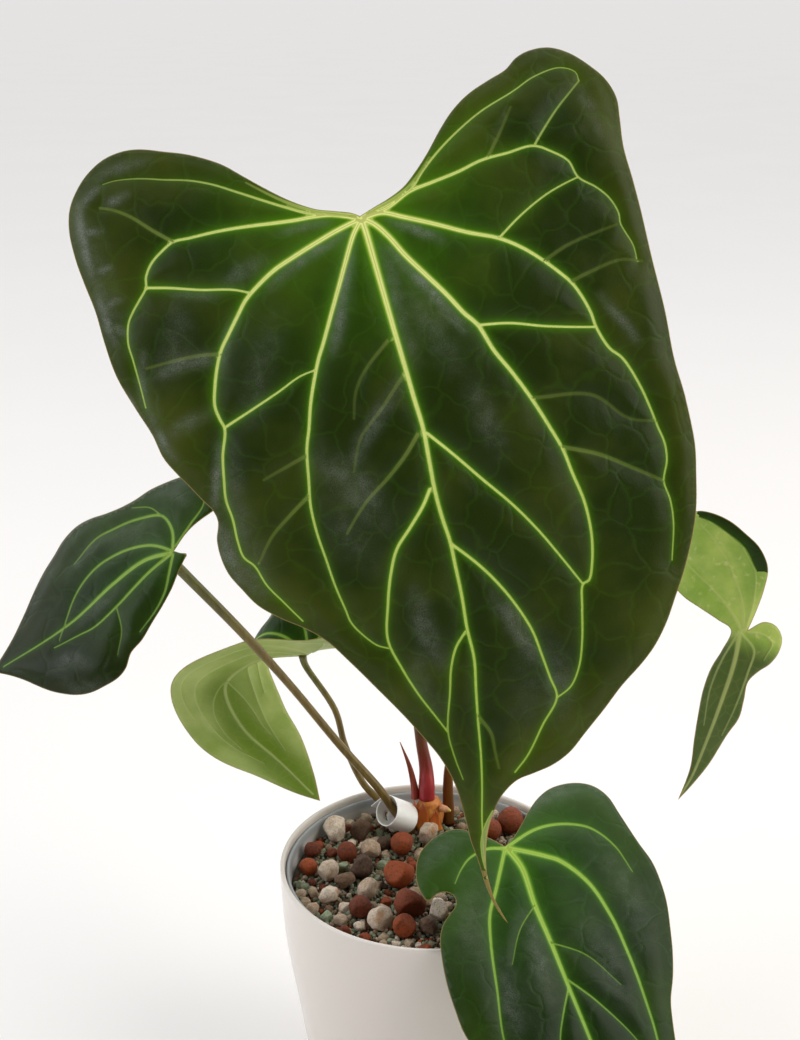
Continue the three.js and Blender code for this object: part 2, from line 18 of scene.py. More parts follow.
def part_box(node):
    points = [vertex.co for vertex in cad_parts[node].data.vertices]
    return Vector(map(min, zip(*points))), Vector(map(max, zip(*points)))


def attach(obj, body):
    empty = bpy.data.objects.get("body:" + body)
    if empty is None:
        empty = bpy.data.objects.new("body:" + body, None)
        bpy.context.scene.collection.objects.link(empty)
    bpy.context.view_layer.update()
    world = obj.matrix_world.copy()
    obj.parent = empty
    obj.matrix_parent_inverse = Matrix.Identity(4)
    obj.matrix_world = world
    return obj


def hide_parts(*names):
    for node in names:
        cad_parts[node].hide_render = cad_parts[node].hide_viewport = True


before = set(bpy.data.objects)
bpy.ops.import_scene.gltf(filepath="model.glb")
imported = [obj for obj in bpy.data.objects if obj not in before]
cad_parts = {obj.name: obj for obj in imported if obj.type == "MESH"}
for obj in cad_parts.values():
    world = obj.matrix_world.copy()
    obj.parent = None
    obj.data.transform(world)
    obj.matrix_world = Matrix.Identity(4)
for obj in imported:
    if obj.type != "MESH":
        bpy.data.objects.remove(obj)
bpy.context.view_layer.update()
print("pieces in the model:", len(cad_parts))

# %% [markdown]
# ## The camera
# The photograph looks down on the plant by 20 degrees, from 557 mm above the pot's foot. The rim
# of the pot gives this away: a round rim seen as an ellipse about half as high as wide. The lens
# is given by its reach of 1500 points: what is 1 mm wide and 1000 mm away spans 1.5 points, in a
# picture 1040 points high.

# %% Stand the camera where the photographer stood
MM = 0.001
EYE = np.array([-15.0, -648.5, 557.0])
LOOK_DOWN = math.radians(20)
REACH = 1500.0
PICTURE = (800, 1040)

camera_data = bpy.data.cameras.new("camera")
camera_data.sensor_width = 36.0
camera_data.lens = 36.0 * REACH / PICTURE[1]
camera = bpy.data.objects.new("camera", camera_data)
camera.location = EYE * MM
camera.rotation_euler = (math.pi / 2 - LOOK_DOWN, 0, 0)
bpy.context.scene.collection.objects.link(camera)
bpy.context.scene.camera = camera
print("lens", round(camera_data.lens, 2), "mm on a 36 mm sensor")

# %% [markdown]
# ## Places along lines of sight
# A leaf is flat but leans in space, so its outline is easiest to give as it is seen from the
# camera. A line of sight runs from the camera through a point of the picture, and the leaf's
# own plane says how far along that line the point lies. That keeps the outline true in the
# picture while the leaf stays a real sheet in space, seen from any side.

# %% Lines of sight
AHEAD = np.array([0.0, math.cos(LOOK_DOWN), -math.sin(LOOK_DOWN)])
UPRIGHT = np.array([0.0, math.sin(LOOK_DOWN), math.cos(LOOK_DOWN)])
RIGHT = np.array([1.0, 0.0, 0.0])


def sight(seen):
    seen = np.asarray(seen, float)
    right = (seen[..., 0:1] - PICTURE[0] / 2) / REACH
    up = (PICTURE[1] / 2 - seen[..., 1:2]) / REACH
    return AHEAD + right * RIGHT + up * UPRIGHT


def at_depth(seen, y):
    line = sight(seen)
    return EYE + line * ((y - EYE[1]) / line[..., 1:2])


def at_height(seen, z):
    line = sight(seen)
    return EYE + line * ((z - EYE[2]) / line[..., 2:3])


def on_plane(seen, origin, facing, lift):
    line = sight(seen)
    away = (origin - EYE) @ facing + lift
    return EYE + line * (np.reshape(away, (-1, 1)) / (line @ facing)[:, None])


def unit(v):
    v = np.asarray(v, float)
    return v / np.linalg.norm(v, axis=-1, keepdims=True)


print("middle of the view at the pot's front:", at_depth([400, 520], -75).round(1))

# %% [markdown]
# ## Flowing lines
# Outlines, veins and stalks are all drawn as a few places joined by a flowing line. A
# Catmull-Rom curve passes through each place, and its centripetal form never loops or
# overshoots where places lie unevenly. The line is then walked in equal steps.


# %% Join places with a flowing line
def flow(places):
    """The curve through all places, in 12 steps from each place to the next."""
    p = np.asarray(places, float)
    p = np.vstack([2 * p[0] - p[1], p, 2 * p[-1] - p[-2]])
    gap = np.maximum(np.sqrt(np.linalg.norm(np.diff(p, axis=0), axis=1)), 1e-3)[:, None]
    t = np.linspace(0, 1, 12, endpoint=False)[:, None]
    runs = []
    for i in range(1, len(p) - 2):
        a, b, c, d = p[i - 1 : i + 3]
        before, here, after = gap[i - 1 : i + 2]
        leave = ((b - a) / before - (c - a) / (before + here) + (c - b) / here) * here
        arrive = ((c - b) / here - (d - b) / (here + after) + (d - c) / after) * here
        runs.append(
            (2 * t**3 - 3 * t**2 + 1) * b + (t**3 - 2 * t**2 + t) * leave
            + (3 * t**2 - 2 * t**3) * c + (t**3 - t**2) * arrive
        )
    return np.vstack([*runs, p[-2:-1]])


def smooth(places, spacing):
    """The same curve in equal steps of about `spacing`."""
    line = flow(places)
    walked = np.r_[0, np.cumsum(np.linalg.norm(np.diff(line, axis=0), axis=1))]
    stops = np.linspace(0, walked[-1], max(2, round(walked[-1] / spacing) + 1))
    return np.column_stack([np.interp(stops, walked, column) for column in line.T])


print("a quarter turn in steps of 1 mm:", len(smooth([(0, 10), (7, 7), (10, 0)], 1)), "points")

# %% [markdown]
# ## Colours and nodes
# Colours are written as they show on a screen, in hex, and turned to the linear light that
# Blender counts in. One helper adds a shader node: an input that is another node's output is
# linked, and any other is set. It hands back the output that the next node needs.


# %% Colours and shader nodes
SMOOTH = {"interpolation_type": "SMOOTHSTEP"}
COLOUR = {"data_type": "RGBA"}
DARKEN = {"data_type": "RGBA", "blend_type": "MULTIPLY"}


def linear(colour):
    channels = [int(colour[i : i + 2], 16) / 255 for i in (1, 3, 5)]
    return [c / 12.92 if c <= 0.04045 else ((c + 0.055) / 1.055) ** 2.4 for c in channels] + [1.0]


def node(tree, kind, inputs=None, out=0, **settings):
    made = tree.nodes.new("ShaderNode" + kind)
    for name, value in settings.items():
        setattr(made, name, value)
    for name, value in (inputs or {}).items():
        if isinstance(value, bpy.types.NodeSocket):
            tree.links.new(value, made.inputs[name])
        else:
            made.inputs[name].default_value = value
    return made if out is None else made.outputs[out]


def new_material(name, roughness, ior, finish):
    """A named material. finish(tree) gives its colour and bump, and may give its roughness."""
    made = bpy.data.materials.new(name)
    made.use_nodes = True
    tree = made.node_tree
    tree.nodes.clear()
    links = dict(zip(("Base Color", "Normal", "Roughness"), finish(tree)))
    surface = node(tree, "BsdfPrincipled", {"Roughness": roughness, "IOR": ior, **links}, None)
    node(tree, "OutputMaterial", {"Surface": surface.outputs[0]}, None)
    return made


print("mid green in linear light:", [round(c, 3) for c in linear("#3f5a24")])

# %% [markdown]
# ## Meshes
# Every piece is made of plain lists of points and faces. The helper below makes the object,
# stores what the shaders need to know about each point, hides the plain piece it stands for
# and lets it ride on the model's one body.


# %% Turn points and faces into a piece
def piece(name, points, faces, materials, stands_for, facts=None, kinds=None):
    mesh = bpy.data.meshes.new(name)
    mesh.from_pydata((np.asarray(points) * MM).tolist(), [], [list(map(int, f)) for f in faces])
    for made in materials:
        mesh.materials.append(made)
    if kinds is not None:
        mesh.polygons.foreach_set("material_index", np.asarray(kinds, np.int32))
    mesh.polygons.foreach_set("use_smooth", np.ones(len(mesh.polygons), bool))
    for fact, values in (facts or {}).items():
        values = np.asarray(values, np.float32)
        if values.ndim == 2:
            mesh.attributes.new(fact, "FLOAT_VECTOR", "POINT").data.foreach_set("vector", values.ravel())
        else:
            mesh.attributes.new(fact, "FLOAT", "POINT").data.foreach_set("value", values)
    mesh.update()
    made = bpy.data.objects.new(name, mesh)
    bpy.context.scene.collection.objects.link(made)
    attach(made, "root")
    if stands_for:
        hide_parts(*stands_for)


# %% [markdown]
# ## Turned pieces
# Both pots are moulded round, so both are turned: a profile is swept round the upright
# axis in 144 steps, enough for a rim that looks round up close.


# %% Sweep a profile round the axis
ROUND_STEPS = 144


def turned(profile):
    profile = np.asarray(profile, float)
    turn = np.linspace(0, 2 * math.pi, ROUND_STEPS, endpoint=False)
    inner = profile[1:-1]
    rings = np.stack([
        inner[:, None, 0] * np.cos(turn), inner[:, None, 0] * np.sin(turn),
        np.repeat(inner[:, None, 1], ROUND_STEPS, 1),
    ], -1).reshape(-1, 3)
    points = np.vstack([[0, 0, profile[0, 1]], rings, [0, 0, profile[-1, 1]]])
    faces = []
    for k in range(ROUND_STEPS):
        after = (k + 1) % ROUND_STEPS
        faces.append((0, 1 + after, 1 + k))
        for i in range(len(inner) - 1):
            low, high = 1 + i * ROUND_STEPS, 1 + (i + 1) * ROUND_STEPS
            faces.append((low + k, low + after, high + after, high + k))
        last = 1 + (len(inner) - 1) * ROUND_STEPS
        faces.append((last + k, last + after, len(points) - 1))
    return points, faces


# %% [markdown]
# ## The cover pot
# The cover pot is injection-moulded polypropylene in warm white. It is nearly upright under the rim and draws
# in towards a rounded foot. Its surface is smooth with a soft gloss, slightly uneven from the mould, so a
# very shallow, broad ripple keeps its highlight from looking drawn. Its colour is set a light warm grey,
# below its white: painted shade that darkens the whole pot evenly.

# %% White polypropylene
POT_HEIGHT = 140.0
POT_RIM_RADIUS = 75.0
POT_WALL = 2.5


def white_finish(tree):
    place = node(tree, "NewGeometry", out="Position")
    broad = node(tree, "TexNoise", {"Vector": place, "Scale": 12.0, "Detail": 1.0})
    fine = node(tree, "TexNoise", {"Vector": place, "Scale": 900.0, "Detail": 2.0})
    both = node(tree, "Math", {0: fine, 1: 0.05, 2: broad}, operation="MULTIPLY_ADD")
    # painted shade: the white pot is painted light warm grey all over
    colour = node(tree, "Mix", {0: broad, 6: linear("#d0c8c0"), 7: linear("#d8d0c8")}, 2, **COLOUR)
    return colour, node(tree, "Bump", {"Height": both, "Strength": 0.3, "Distance": 0.0006})


white_plastic = new_material("white_polypropylene_moulded", 0.24, 1.49, white_finish)

# %% The pot's side and rim
pot_side = smooth([(52, 4), (61.6, 30), (68.3, 70), (73.2, 104), (POT_RIM_RADIUS, 138)], 3)
foot = [(0, 0.9), (44, 0.9), (46, 0), (49, 0), (50.6, 0.7), (51.5, 2)]
lip = [(POT_RIM_RADIUS, 139), (74.7, 139.7), (74.2, 140), (73.6, 140), (73.0, 139.7), (72.6, 139)]
pot_inside = [(r - POT_WALL, z) for r, z in pot_side[:0:-1]]
pot_floor = [(50.5, 4.4), (48, 3), (0, 3)]
points, faces = turned([*foot, *pot_side, *lip, *pot_inside, *pot_floor])
piece("white_cover_pot", points, faces, [white_plastic], ["cover_pot"])
print("cover pot:", len(faces), "faces")

# %% [markdown]
# ## The grey liner
# The plant grows in a thin grey pot of its own that hangs inside the white one, 3 mm below its rim. Its
# polypropylene is pale grey with a satin surface, and dust and lime from watering settle on it, so its colour
# varies in soft patches. Its top, below the white pot's rim, is painted a darker blue-grey as painted shade.

# %% Grey polypropylene
LINER_WALL = 1.6
LINER_TOP = POT_HEIGHT - 3.0
LINER_FLOOR = 3.3
LINER_RADIUS = POT_RIM_RADIUS - POT_WALL - 0.6
LINER_FOOT_RADIUS = 46.0
BED_HEIGHT = 128.0


def liner_radius(height):
    share = (height - LINER_FLOOR) / (LINER_TOP - LINER_FLOOR)
    return LINER_FOOT_RADIUS + (LINER_RADIUS - LINER_FOOT_RADIUS) * share + 4.5 * np.sin(np.pi * share)


def grey_finish(tree):
    place = node(tree, "NewGeometry", out="Position")
    dust = node(tree, "TexNoise", {"Vector": place, "Scale": 60.0, "Detail": 4.0})
    height = node(tree, "SeparateXYZ", {0: place}, 2)
    colour = node(tree, "Mix", {0: dust, 6: linear("#b5b3af"), 7: linear("#d2cfca")}, 2, **COLOUR)
    # painted shade: the top of the liner, below the white pot's rim, is painted darker blue-grey
    lip = node(tree, "MapRange", {0: height, 1: 0.1315, 2: 0.1345, 3: 0.0, 4: 0.9}, **SMOOTH)
    colour = node(tree, "Mix", {0: lip, 6: colour, 7: linear("#93979a")}, 2, **COLOUR)
    return colour, node(tree, "Bump", {"Height": dust, "Strength": 0.3, "Distance": 0.0002})


grey_plastic = new_material("grey_polypropylene_satin", 0.42, 1.49, grey_finish)

# %% The liner's wall
heights = np.linspace(5, LINER_TOP - 0.8, 34)
outside = [(liner_radius(z), z) for z in heights]
inside = [(liner_radius(z) - LINER_WALL, z) for z in heights[:0:-1]]
lip = [(LINER_RADIUS, LINER_TOP - 0.3), (LINER_RADIUS - 0.4, LINER_TOP), (LINER_RADIUS - 1.2, LINER_TOP)]
liner_foot = [(0, LINER_FLOOR), (LINER_FOOT_RADIUS - 1, LINER_FLOOR)]
liner_basin = [(LINER_FOOT_RADIUS - 2, LINER_FLOOR + LINER_WALL), (0, LINER_FLOOR + LINER_WALL)]
points, faces = turned([*liner_foot, *outside, *lip, *inside, *liner_basin])
piece("grey_grow_liner", points, faces, [grey_plastic], ["grow_liner"])
print("liner stands", round(POT_HEIGHT - LINER_TOP, 1), "mm below the rim")

# %% [markdown]
# ## Leaf blades
# A leaf blade is a sheet about half a millimetre thick. Its main veins fan out from the joint
# with the stalk, sunk into the upper side and raised below, and the blade swells a little
# between them. The mesh has to carry those veins, so their lines become edges of the mesh: the
# outline, every vein and a fine grid of points in between are joined by a constrained Delaunay
# triangulation. Each point then knows how far it lies from the nearest vein and from the edge,
# and that drives both the relief and the colours, crisp at any size.


# %% Measure from lines
def nearest(points, line):
    """Distance of each point to a line, and how far along the line, from 0 to 1."""
    best = np.full(len(points), 1e9)
    share = np.zeros(len(points))
    for i, (a, b) in enumerate(zip(line[:-1], line[1:])):
        run = b - a
        t = np.clip(((points - a) @ run) / max(run @ run, 1e-12), 0, 1)
        away = np.hypot(*(points - a - t[:, None] * run).T)
        closer = away < best
        best[closer] = away[closer]
        share[closer] = (i + t[closer]) / (len(line) - 1)
    return best, share


def inside_of(points, outline):
    """Which points lie inside a closed outline: those with an odd number of edges to their right."""
    within = np.zeros(len(points), bool)
    for a, b in zip(outline, np.roll(outline, -1, 0)):
        if a[1] == b[1]:
            continue
        level = (a[1] > points[:, 1]) != (b[1] > points[:, 1])
        crossing = a[0] + (points[:, 1] - a[1]) / (b[1] - a[1]) * (b[0] - a[0])
        within ^= level & (points[:, 0] < crossing)
    return within


# %% Triangulate a blade around its veins
def beside(line, reach):
    """Rows of points that follow a line at `reach` to one side of it."""
    ahead = unit(np.gradient(line, axis=0))
    return line + np.column_stack([-ahead[:, 1], ahead[:, 0]]) * np.reshape(reach, (-1, 1))


def blade_net(outline, tip, ribs, spacing):
    """The outline starts at the notch where the stalk joins, and tip is its pointed end."""
    turn = outline.index(tip)
    rim = np.vstack([smooth(outline[: turn + 1], 0.8 * spacing)[:-1],
                     smooth([*outline[turn:], outline[0]], 0.8 * spacing)[:-1]])
    closed = np.vstack([rim, rim[:1]])
    lines, halves = [], []
    for start, end, *_, places in ribs:
        line = smooth(places, 0.65 * spacing)
        half = np.linspace(start, end, len(line)) / 2
        keep = inside_of(line, rim) & (nearest(line, closed)[0] > 0.3 * spacing)
        lines.append(line[keep])
        halves.append(half[keep])
    low, high = rim.min(0), rim.max(0)
    row = spacing * math.sqrt(3) / 2
    grid = np.array([
        (x + spacing / 2 * (j % 2), low[1] + j * row)
        for j in range(int((high[1] - low[1]) / row) + 1)
        for x in np.arange(low[0], high[0], spacing)
    ])
    grid = grid[inside_of(grid, rim) & (nearest(grid, closed)[0] > 0.55 * spacing)]
    kept = [k for k, line in enumerate(lines) if len(line) > 2]
    lines, halves = [lines[k] for k in kept], [halves[k] for k in kept]
    rows, owner, room = [], [], []
    for number, (line, half) in enumerate(zip(lines, halves)):
        for reach in (-2.3, -1, 1, 2.3):
            rows.append(beside(line, half * reach))
            owner += [number] * len(line)
            room.append(0.8 * half * abs(reach))
    rows, owner, room = np.vstack(rows), np.array(owner), np.concatenate(room)
    clear = inside_of(rows, rim) & (nearest(rows, closed)[0] > 0.25 * spacing)
    for number, line in enumerate(lines):
        grid = grid[nearest(grid, line)[0] > 0.6 * spacing]
        clear &= (owner == number) | (nearest(rows, line)[0] > room)
    rows = rows[clear]
    rows = rows[np.unique(np.round(rows / (0.22 * spacing)), axis=0, return_index=True)[1]]
    near = KDTree(len(rows))
    for k, (x, y) in enumerate(rows):
        near.insert((x, y, 0), k)
    near.balance()
    grid = np.array([g for g in grid if near.find((*g, 0))[2] > 0.45 * spacing])
    places, edges = [rim, grid, rows], [(i, (i + 1) % len(rim)) for i in range(len(rim))]
    count = sum(map(len, places))
    for line in lines:
        edges += [(count + i, count + i + 1) for i in range(len(line) - 1)]
        places.append(line)
        count += len(line)
    corners, _, faces, *_ = delaunay_2d_cdt(np.vstack(places).tolist(), edges, [], 1, 1e-4)
    corners = np.array([tuple(c) for c in corners])
    faces = np.array([f for f in faces if len(f) == 3])
    return corners, faces[inside_of(corners[faces].mean(1), rim)], closed, dict(zip(kept, lines))


# %% [markdown]
# A blade's surface is worked out in two steps. The place of each point comes from the leaf's
# own plane and its slow bends. On top of that lie the swelling between the veins, one to two
# millimetres high, and slow waves that any grown leaf has. The upper and lower sheets are then
# set half a thickness to either side, with the lower one bulging along each vein.


# %% Waves, veins and painted sheen over a blade
def waves(flat, size, seed):
    """Slow waves over a blade, from -1 to 1, about `size` mm from crest to crest."""
    total = np.zeros(len(flat))
    for k in range(5):
        turn = seed + 1.9 * k
        way = np.array([math.cos(turn), math.sin(turn)])
        total += np.sin(flat @ way * 2 * math.pi / (size * (0.7 + 0.17 * k)) + seed * (k + 1))
    return total / 5


def vein_facts(corners, lines, ribs, scale, joint, halo_reach):
    """Per point: vein half-widths to the nearest vein, its brightness, its glow, and mm to any vein."""
    rib = np.full(len(corners), 12.0)
    power = np.zeros(len(corners))
    glow = np.zeros(len(corners))
    trough = np.full(len(corners), 60.0)
    for number, line in lines.items():
        start, end, bright_start, bright_end, _ = ribs[number]
        away, share = nearest(corners, line)
        half = (start + (end - start) * share) / 2
        bright = bright_start + (bright_end - bright_start) * share
        closer = away / half < rib
        rib[closer] = (away / half)[closer]
        power[closer] = bright[closer]
        spread = 1.3 + 2.6 * np.exp(-joint / halo_reach)
        glow = np.maximum(glow, bright * np.exp(-np.maximum(away - half, 0) * scale / spread))
        trough = np.minimum(trough, away * scale + 5 * (1 - bright))
    return rib, power, glow, trough


def painted_sheen_over(corners, sheen_strips, spacing):
    """How much painted sheen lies at each point: grey strips that stand in for the gloss of slopes and folds,
    and fade at their sides and ends.
    """
    painted_sheen = np.zeros(len(corners))
    for width, strength, places in sheen_strips:
        away, share = nearest(corners, smooth(places, 2 * spacing))
        fade = np.sin(np.pi * np.clip(0.12 + 0.76 * share, 0, 1))
        painted_sheen = np.maximum(painted_sheen, strength * fade * np.exp(-((away / width) ** 2)))
    return painted_sheen


def facing_out(middle, faces, facing_sign):
    """Upward directions, turned towards the camera for +1 and away from it for -1."""
    a, b, c = (middle[faces[:, k]] for k in range(3))
    across = np.cross(b - a, c - a)
    normal = np.zeros_like(middle)
    for k in range(3):
        np.add.at(normal, faces[:, k], across)
    normal = unit(normal)
    if np.mean(normal @ -AHEAD) * facing_sign < 0:
        return -normal, faces[:, ::-1]
    return normal, faces


# %% Build a leaf
def leaf(name, outline, tip, ribs, place, spacing, looks, stands_for, scale=0.45, quilt=1.3, wave=1.0,
         ruffle=0.0, facing_sign=1, seed=1.0, halo_reach=70.0, thickness=0.5, sheen_strips=(), folded=()):
    """looks are the upper and lower finish. scale is mm per unit of the outline."""
    corners, faces, closed, lines = blade_net(outline, tip, ribs, spacing)
    middle, flat = place(corners)
    edge = nearest(corners, closed)[0] * scale
    joint = np.hypot(*(corners - np.array(outline[0])).T) * scale
    rib, power, glow, trough = vein_facts(corners, lines, ribs, scale, joint, halo_reach)
    painted_sheen = painted_sheen_over(corners, sheen_strips, spacing)
    normal, faces = facing_out(middle, faces, facing_sign)

    # swelling between the veins, slow waves, small unevenness and a ruffled margin
    calm = 1 - np.exp(-((edge / 5) ** 2))
    swell = quilt * (1 - np.exp(-((trough / 7) ** 2))) * calm
    swell += wave * waves(flat, 70, seed) * np.minimum(1, edge / 10)
    swell += 0.16 * waves(flat, 13, seed + 2) * np.minimum(1, trough / 4) * calm
    swell += ruffle * waves(flat, 38, seed + 4) * np.exp(-edge / 12)

    # veins sunk into the upper sheet and raised under the lower one
    sunk = 0.3 * np.exp(-(rib**2)) * power
    thick = thickness * (0.45 + 0.55 * np.minimum(1, edge / 1.2))
    upper = middle + normal * (swell + thick / 2 - sunk)[:, None]
    ridge = 0.9 * power * np.exp(-((rib / 1.2) ** 2)) * np.minimum(1, edge / 1.5)
    lower = middle + normal * (swell - thick / 2 - ridge)[:, None]

    # both sheets and the strip that closes them
    count = len(corners)
    sides = {(f[k], f[(k + 1) % 3]) for f in faces.tolist() for k in range(3)}
    rim_faces = [(b, a, a + count, b + count) for a, b in sides if (b, a) not in sides]
    turned_over = np.zeros(len(faces), int)
    if len(folded):
        turned_over = inside_of(corners[faces].mean(1), np.array(folded)).astype(int)
    kinds = [*turned_over, *(1 - turned_over), *[1] * len(rim_faces)]
    whole = [*faces.tolist(), *(faces[:, ::-1] + count).tolist(), *rim_faces]
    blade = np.column_stack([flat, np.zeros(count)]) * MM
    facts = {"rib": rib, "power": power, "glow": glow, "edge": edge, "joint": joint, "painted_sheen": painted_sheen}
    facts = {fact: np.tile(values, 2) for fact, values in facts.items()} | {"blade": np.tile(blade, (2, 1))}
    piece(name, np.vstack([upper, lower]), whole, looks, stands_for, facts, kinds)
    print(name, len(whole), "faces")


# %% [markdown]
# ## Living leaf
# The upper side is dark green with a soft, low gloss. Its colour wanders between deep green and olive,
# brightens near the joint, and carries a faint net of small veins. Beside the main veins it brightens to a
# glowing green: partly the veins' own paler colour and partly painted light, shining through the leaf. The
# net's meshes look 3 to 8 mm wide in the picture. They are drawn 16 mm wide, coarser than they are, so that
# the net shows. The main veins are pale yellow-green, near the joint with a dark line of painted shade in the
# groove along their middle, and a hair line of tan edges the blade. Grey strips of painted sheen lie on it as
# a thin veil: the gloss of its slopes and folds, painted at fixed places. Leaf wax has an IOR of about 1.4.
# That gave more mirror gloss than the picture shows, so it is lowered to 1.22. Only the noise, the net and
# the stored distances paint the leaf: nothing depends on where it is seen from.


# %% Upper side of a leaf
def upper_side(name, dark, olive, bright, vein_near, vein_far, roughness=0.36, net_show=0.06, sheen_colour="#6b7066",
               flank_near="#93b833", flank_far="#5f9020"):
    def finish(tree):
        flat = node(tree, "Attribute", out="Vector", attribute_name="blade")
        rib, power, glow, edge, joint, painted_sheen = (
            node(tree, "Attribute", out="Fac", attribute_name=fact)
            for fact in ("rib", "power", "glow", "edge", "joint", "painted_sheen")
        )
        cloud = node(tree, "TexNoise", {"Vector": flat, "Scale": 24.0, "Detail": 3.0})
        streaks = node(tree, "TexNoise", {"Vector": flat, "Scale": 75.0, "Detail": 4.0})
        grain = node(tree, "TexNoise", {"Vector": flat, "Scale": 1500.0, "Detail": 2.0})
        bent = node(tree, "TexNoise", {"Vector": flat, "Scale": 55.0, "Detail": 2.0}, "Color")
        shifted = node(tree, "VectorMath", {0: bent, 1: (0.018, 0.018, 0.0), 2: flat},
                       operation="MULTIPLY_ADD")
        net = node(tree, "TexVoronoi", {"Vector": shifted, "Scale": 62.0}, "Distance",
                   feature="DISTANCE_TO_EDGE", voronoi_dimensions="2D")

        # deep green in the middle of each field, olive in clouds and towards the margin
        border = node(tree, "MapRange", {0: edge, 1: 0.0, 2: 30.0, 3: 0.7, 4: 0.0}, **SMOOTH)
        patch = node(tree, "MapRange", {0: cloud, 1: 0.35, 2: 0.68, 3: -0.2, 4: 0.5}, **SMOOTH)
        age = node(tree, "Math", {0: border, 1: patch}, use_clamp=True)
        body = node(tree, "Mix", {0: age, 6: linear(dark), 7: linear(olive)}, 2, **COLOUR)

        # the faint net, the brighter joint and the glow beside the veins: their own paler green and painted
        # light shining through the leaf
        line = node(tree, "MapRange", {0: net, 1: 0.0, 2: 0.07, 3: net_show, 4: 0.0}, **SMOOTH)
        body = node(tree, "Mix", {0: line, 6: body, 7: linear(bright)}, 2, **COLOUR)
        near = node(tree, "MapRange", {0: joint, 1: 5.0, 2: 90.0, 3: 0.5, 4: 0.0}, **SMOOTH)
        near = node(tree, "Math", {0: near, 1: streaks}, operation="MULTIPLY")
        body = node(tree, "Mix", {0: near, 6: body, 7: linear(bright)}, 2, **COLOUR)
        shine = node(tree, "Math", {0: glow, 1: 1.45}, operation="POWER")
        shine = node(tree, "Math", {0: shine, 1: 0.85}, operation="MULTIPLY")
        body = node(tree, "Mix", {0: shine, 6: body, 7: linear(bright)}, 2, **COLOUR)

        # painted sheen: grey strips that stand in for the gloss of the slopes and folds, broken by the leaf's
        # grain
        speckle = node(tree, "MapRange", {0: grain, 1: 0.35, 2: 0.65, 3: 0.4, 4: 1.05})
        patches = node(tree, "TexNoise", {"Vector": flat, "Scale": 150.0, "Detail": 5.0, "Roughness": 0.6})
        ragged = node(tree, "MapRange", {0: patches, 1: 0.38, 2: 0.64, 3: 0.55, 4: 1.15}, **SMOOTH)
        sheen_share = node(tree, "Math", {0: painted_sheen, 1: speckle}, operation="MULTIPLY")
        sheen_share = node(tree, "Math", {0: sheen_share, 1: ragged}, operation="MULTIPLY")
        body = node(tree, "Mix", {0: sheen_share, 6: body, 7: linear(sheen_colour)}, 2, **COLOUR)

        # the veins: green flanks, a pale core and, near the joint, a dark line along the middle, painted
        # shade in the groove there
        vein = node(tree, "MapRange", {0: joint, 1: 5.0, 2: 230.0}, **SMOOTH)
        vein = node(tree, "Mix", {0: vein, 6: linear(vein_near), 7: linear(vein_far)}, 2, **COLOUR)
        flank = node(tree, "MapRange", {0: rib, 1: 0.7, 2: 2.2, 3: 0.8, 4: 0.0}, **SMOOTH)
        flank = node(tree, "Math", {0: flank, 1: power}, operation="MULTIPLY")
        close = node(tree, "MapRange", {0: joint, 1: 8.0, 2: 80.0, 3: 1.0, 4: 0.0}, **SMOOTH)
        side = node(tree, "Mix", {0: close, 6: linear(flank_far), 7: linear(flank_near)}, 2, **COLOUR)
        body = node(tree, "Mix", {0: flank, 6: body, 7: side}, 2, **COLOUR)
        core = node(tree, "MapRange", {0: rib, 1: 0.45, 2: 1.35, 3: 1.0, 4: 0.0}, **SMOOTH)
        core = node(tree, "Math", {0: core, 1: power}, operation="MULTIPLY")
        body = node(tree, "Mix", {0: core, 6: body, 7: vein}, 2, **COLOUR)
        # painted shade: a darker line along the middle of the veins near the joint, for the groove
        groove_shade = node(tree, "MapRange", {0: rib, 1: 0.04, 2: 0.3, 3: 0.45, 4: 0.0}, **SMOOTH)
        groove_shade = node(tree, "Math", {0: groove_shade, 1: close}, operation="MULTIPLY")
        body = node(tree, "Mix", {0: groove_shade, 6: body, 7: linear("#7d8422")}, 2, **COLOUR)
        hem = node(tree, "MapRange", {0: edge, 1: 0.12, 2: 0.5, 3: 0.8, 4: 0.0}, **SMOOTH)
        body = node(tree, "Mix", {0: hem, 6: body, 7: linear("#8d7a44")}, 2, **COLOUR)

        # relief and gloss
        rise = node(tree, "Math", {0: net, 1: 0.1}, operation="MINIMUM")
        rise = node(tree, "Math", {0: grain, 1: 0.05, 2: rise}, operation="MULTIPLY_ADD")
        rise = node(tree, "Math", {0: streaks, 1: 0.22, 2: rise}, operation="MULTIPLY_ADD")
        rise = node(tree, "Math", {0: patches, 1: 0.12, 2: rise}, operation="MULTIPLY_ADD")
        relief = node(tree, "Bump", {"Height": rise, "Strength": 0.75, "Distance": 0.0014})
        rough = node(tree, "MapRange", {0: cloud, 1: 0.3, 2: 0.7, 3: roughness - 0.04, 4: roughness + 0.06})
        return body, relief, rough

    return new_material(name, roughness, 1.22, finish)


# %% [markdown]
# The underside is paler and duller, without wax, and its veins stand out as round ridges. Light
# also passes through a leaf. The colours are a little lighter and yellower for that, and the
# light itself isn't worked out.


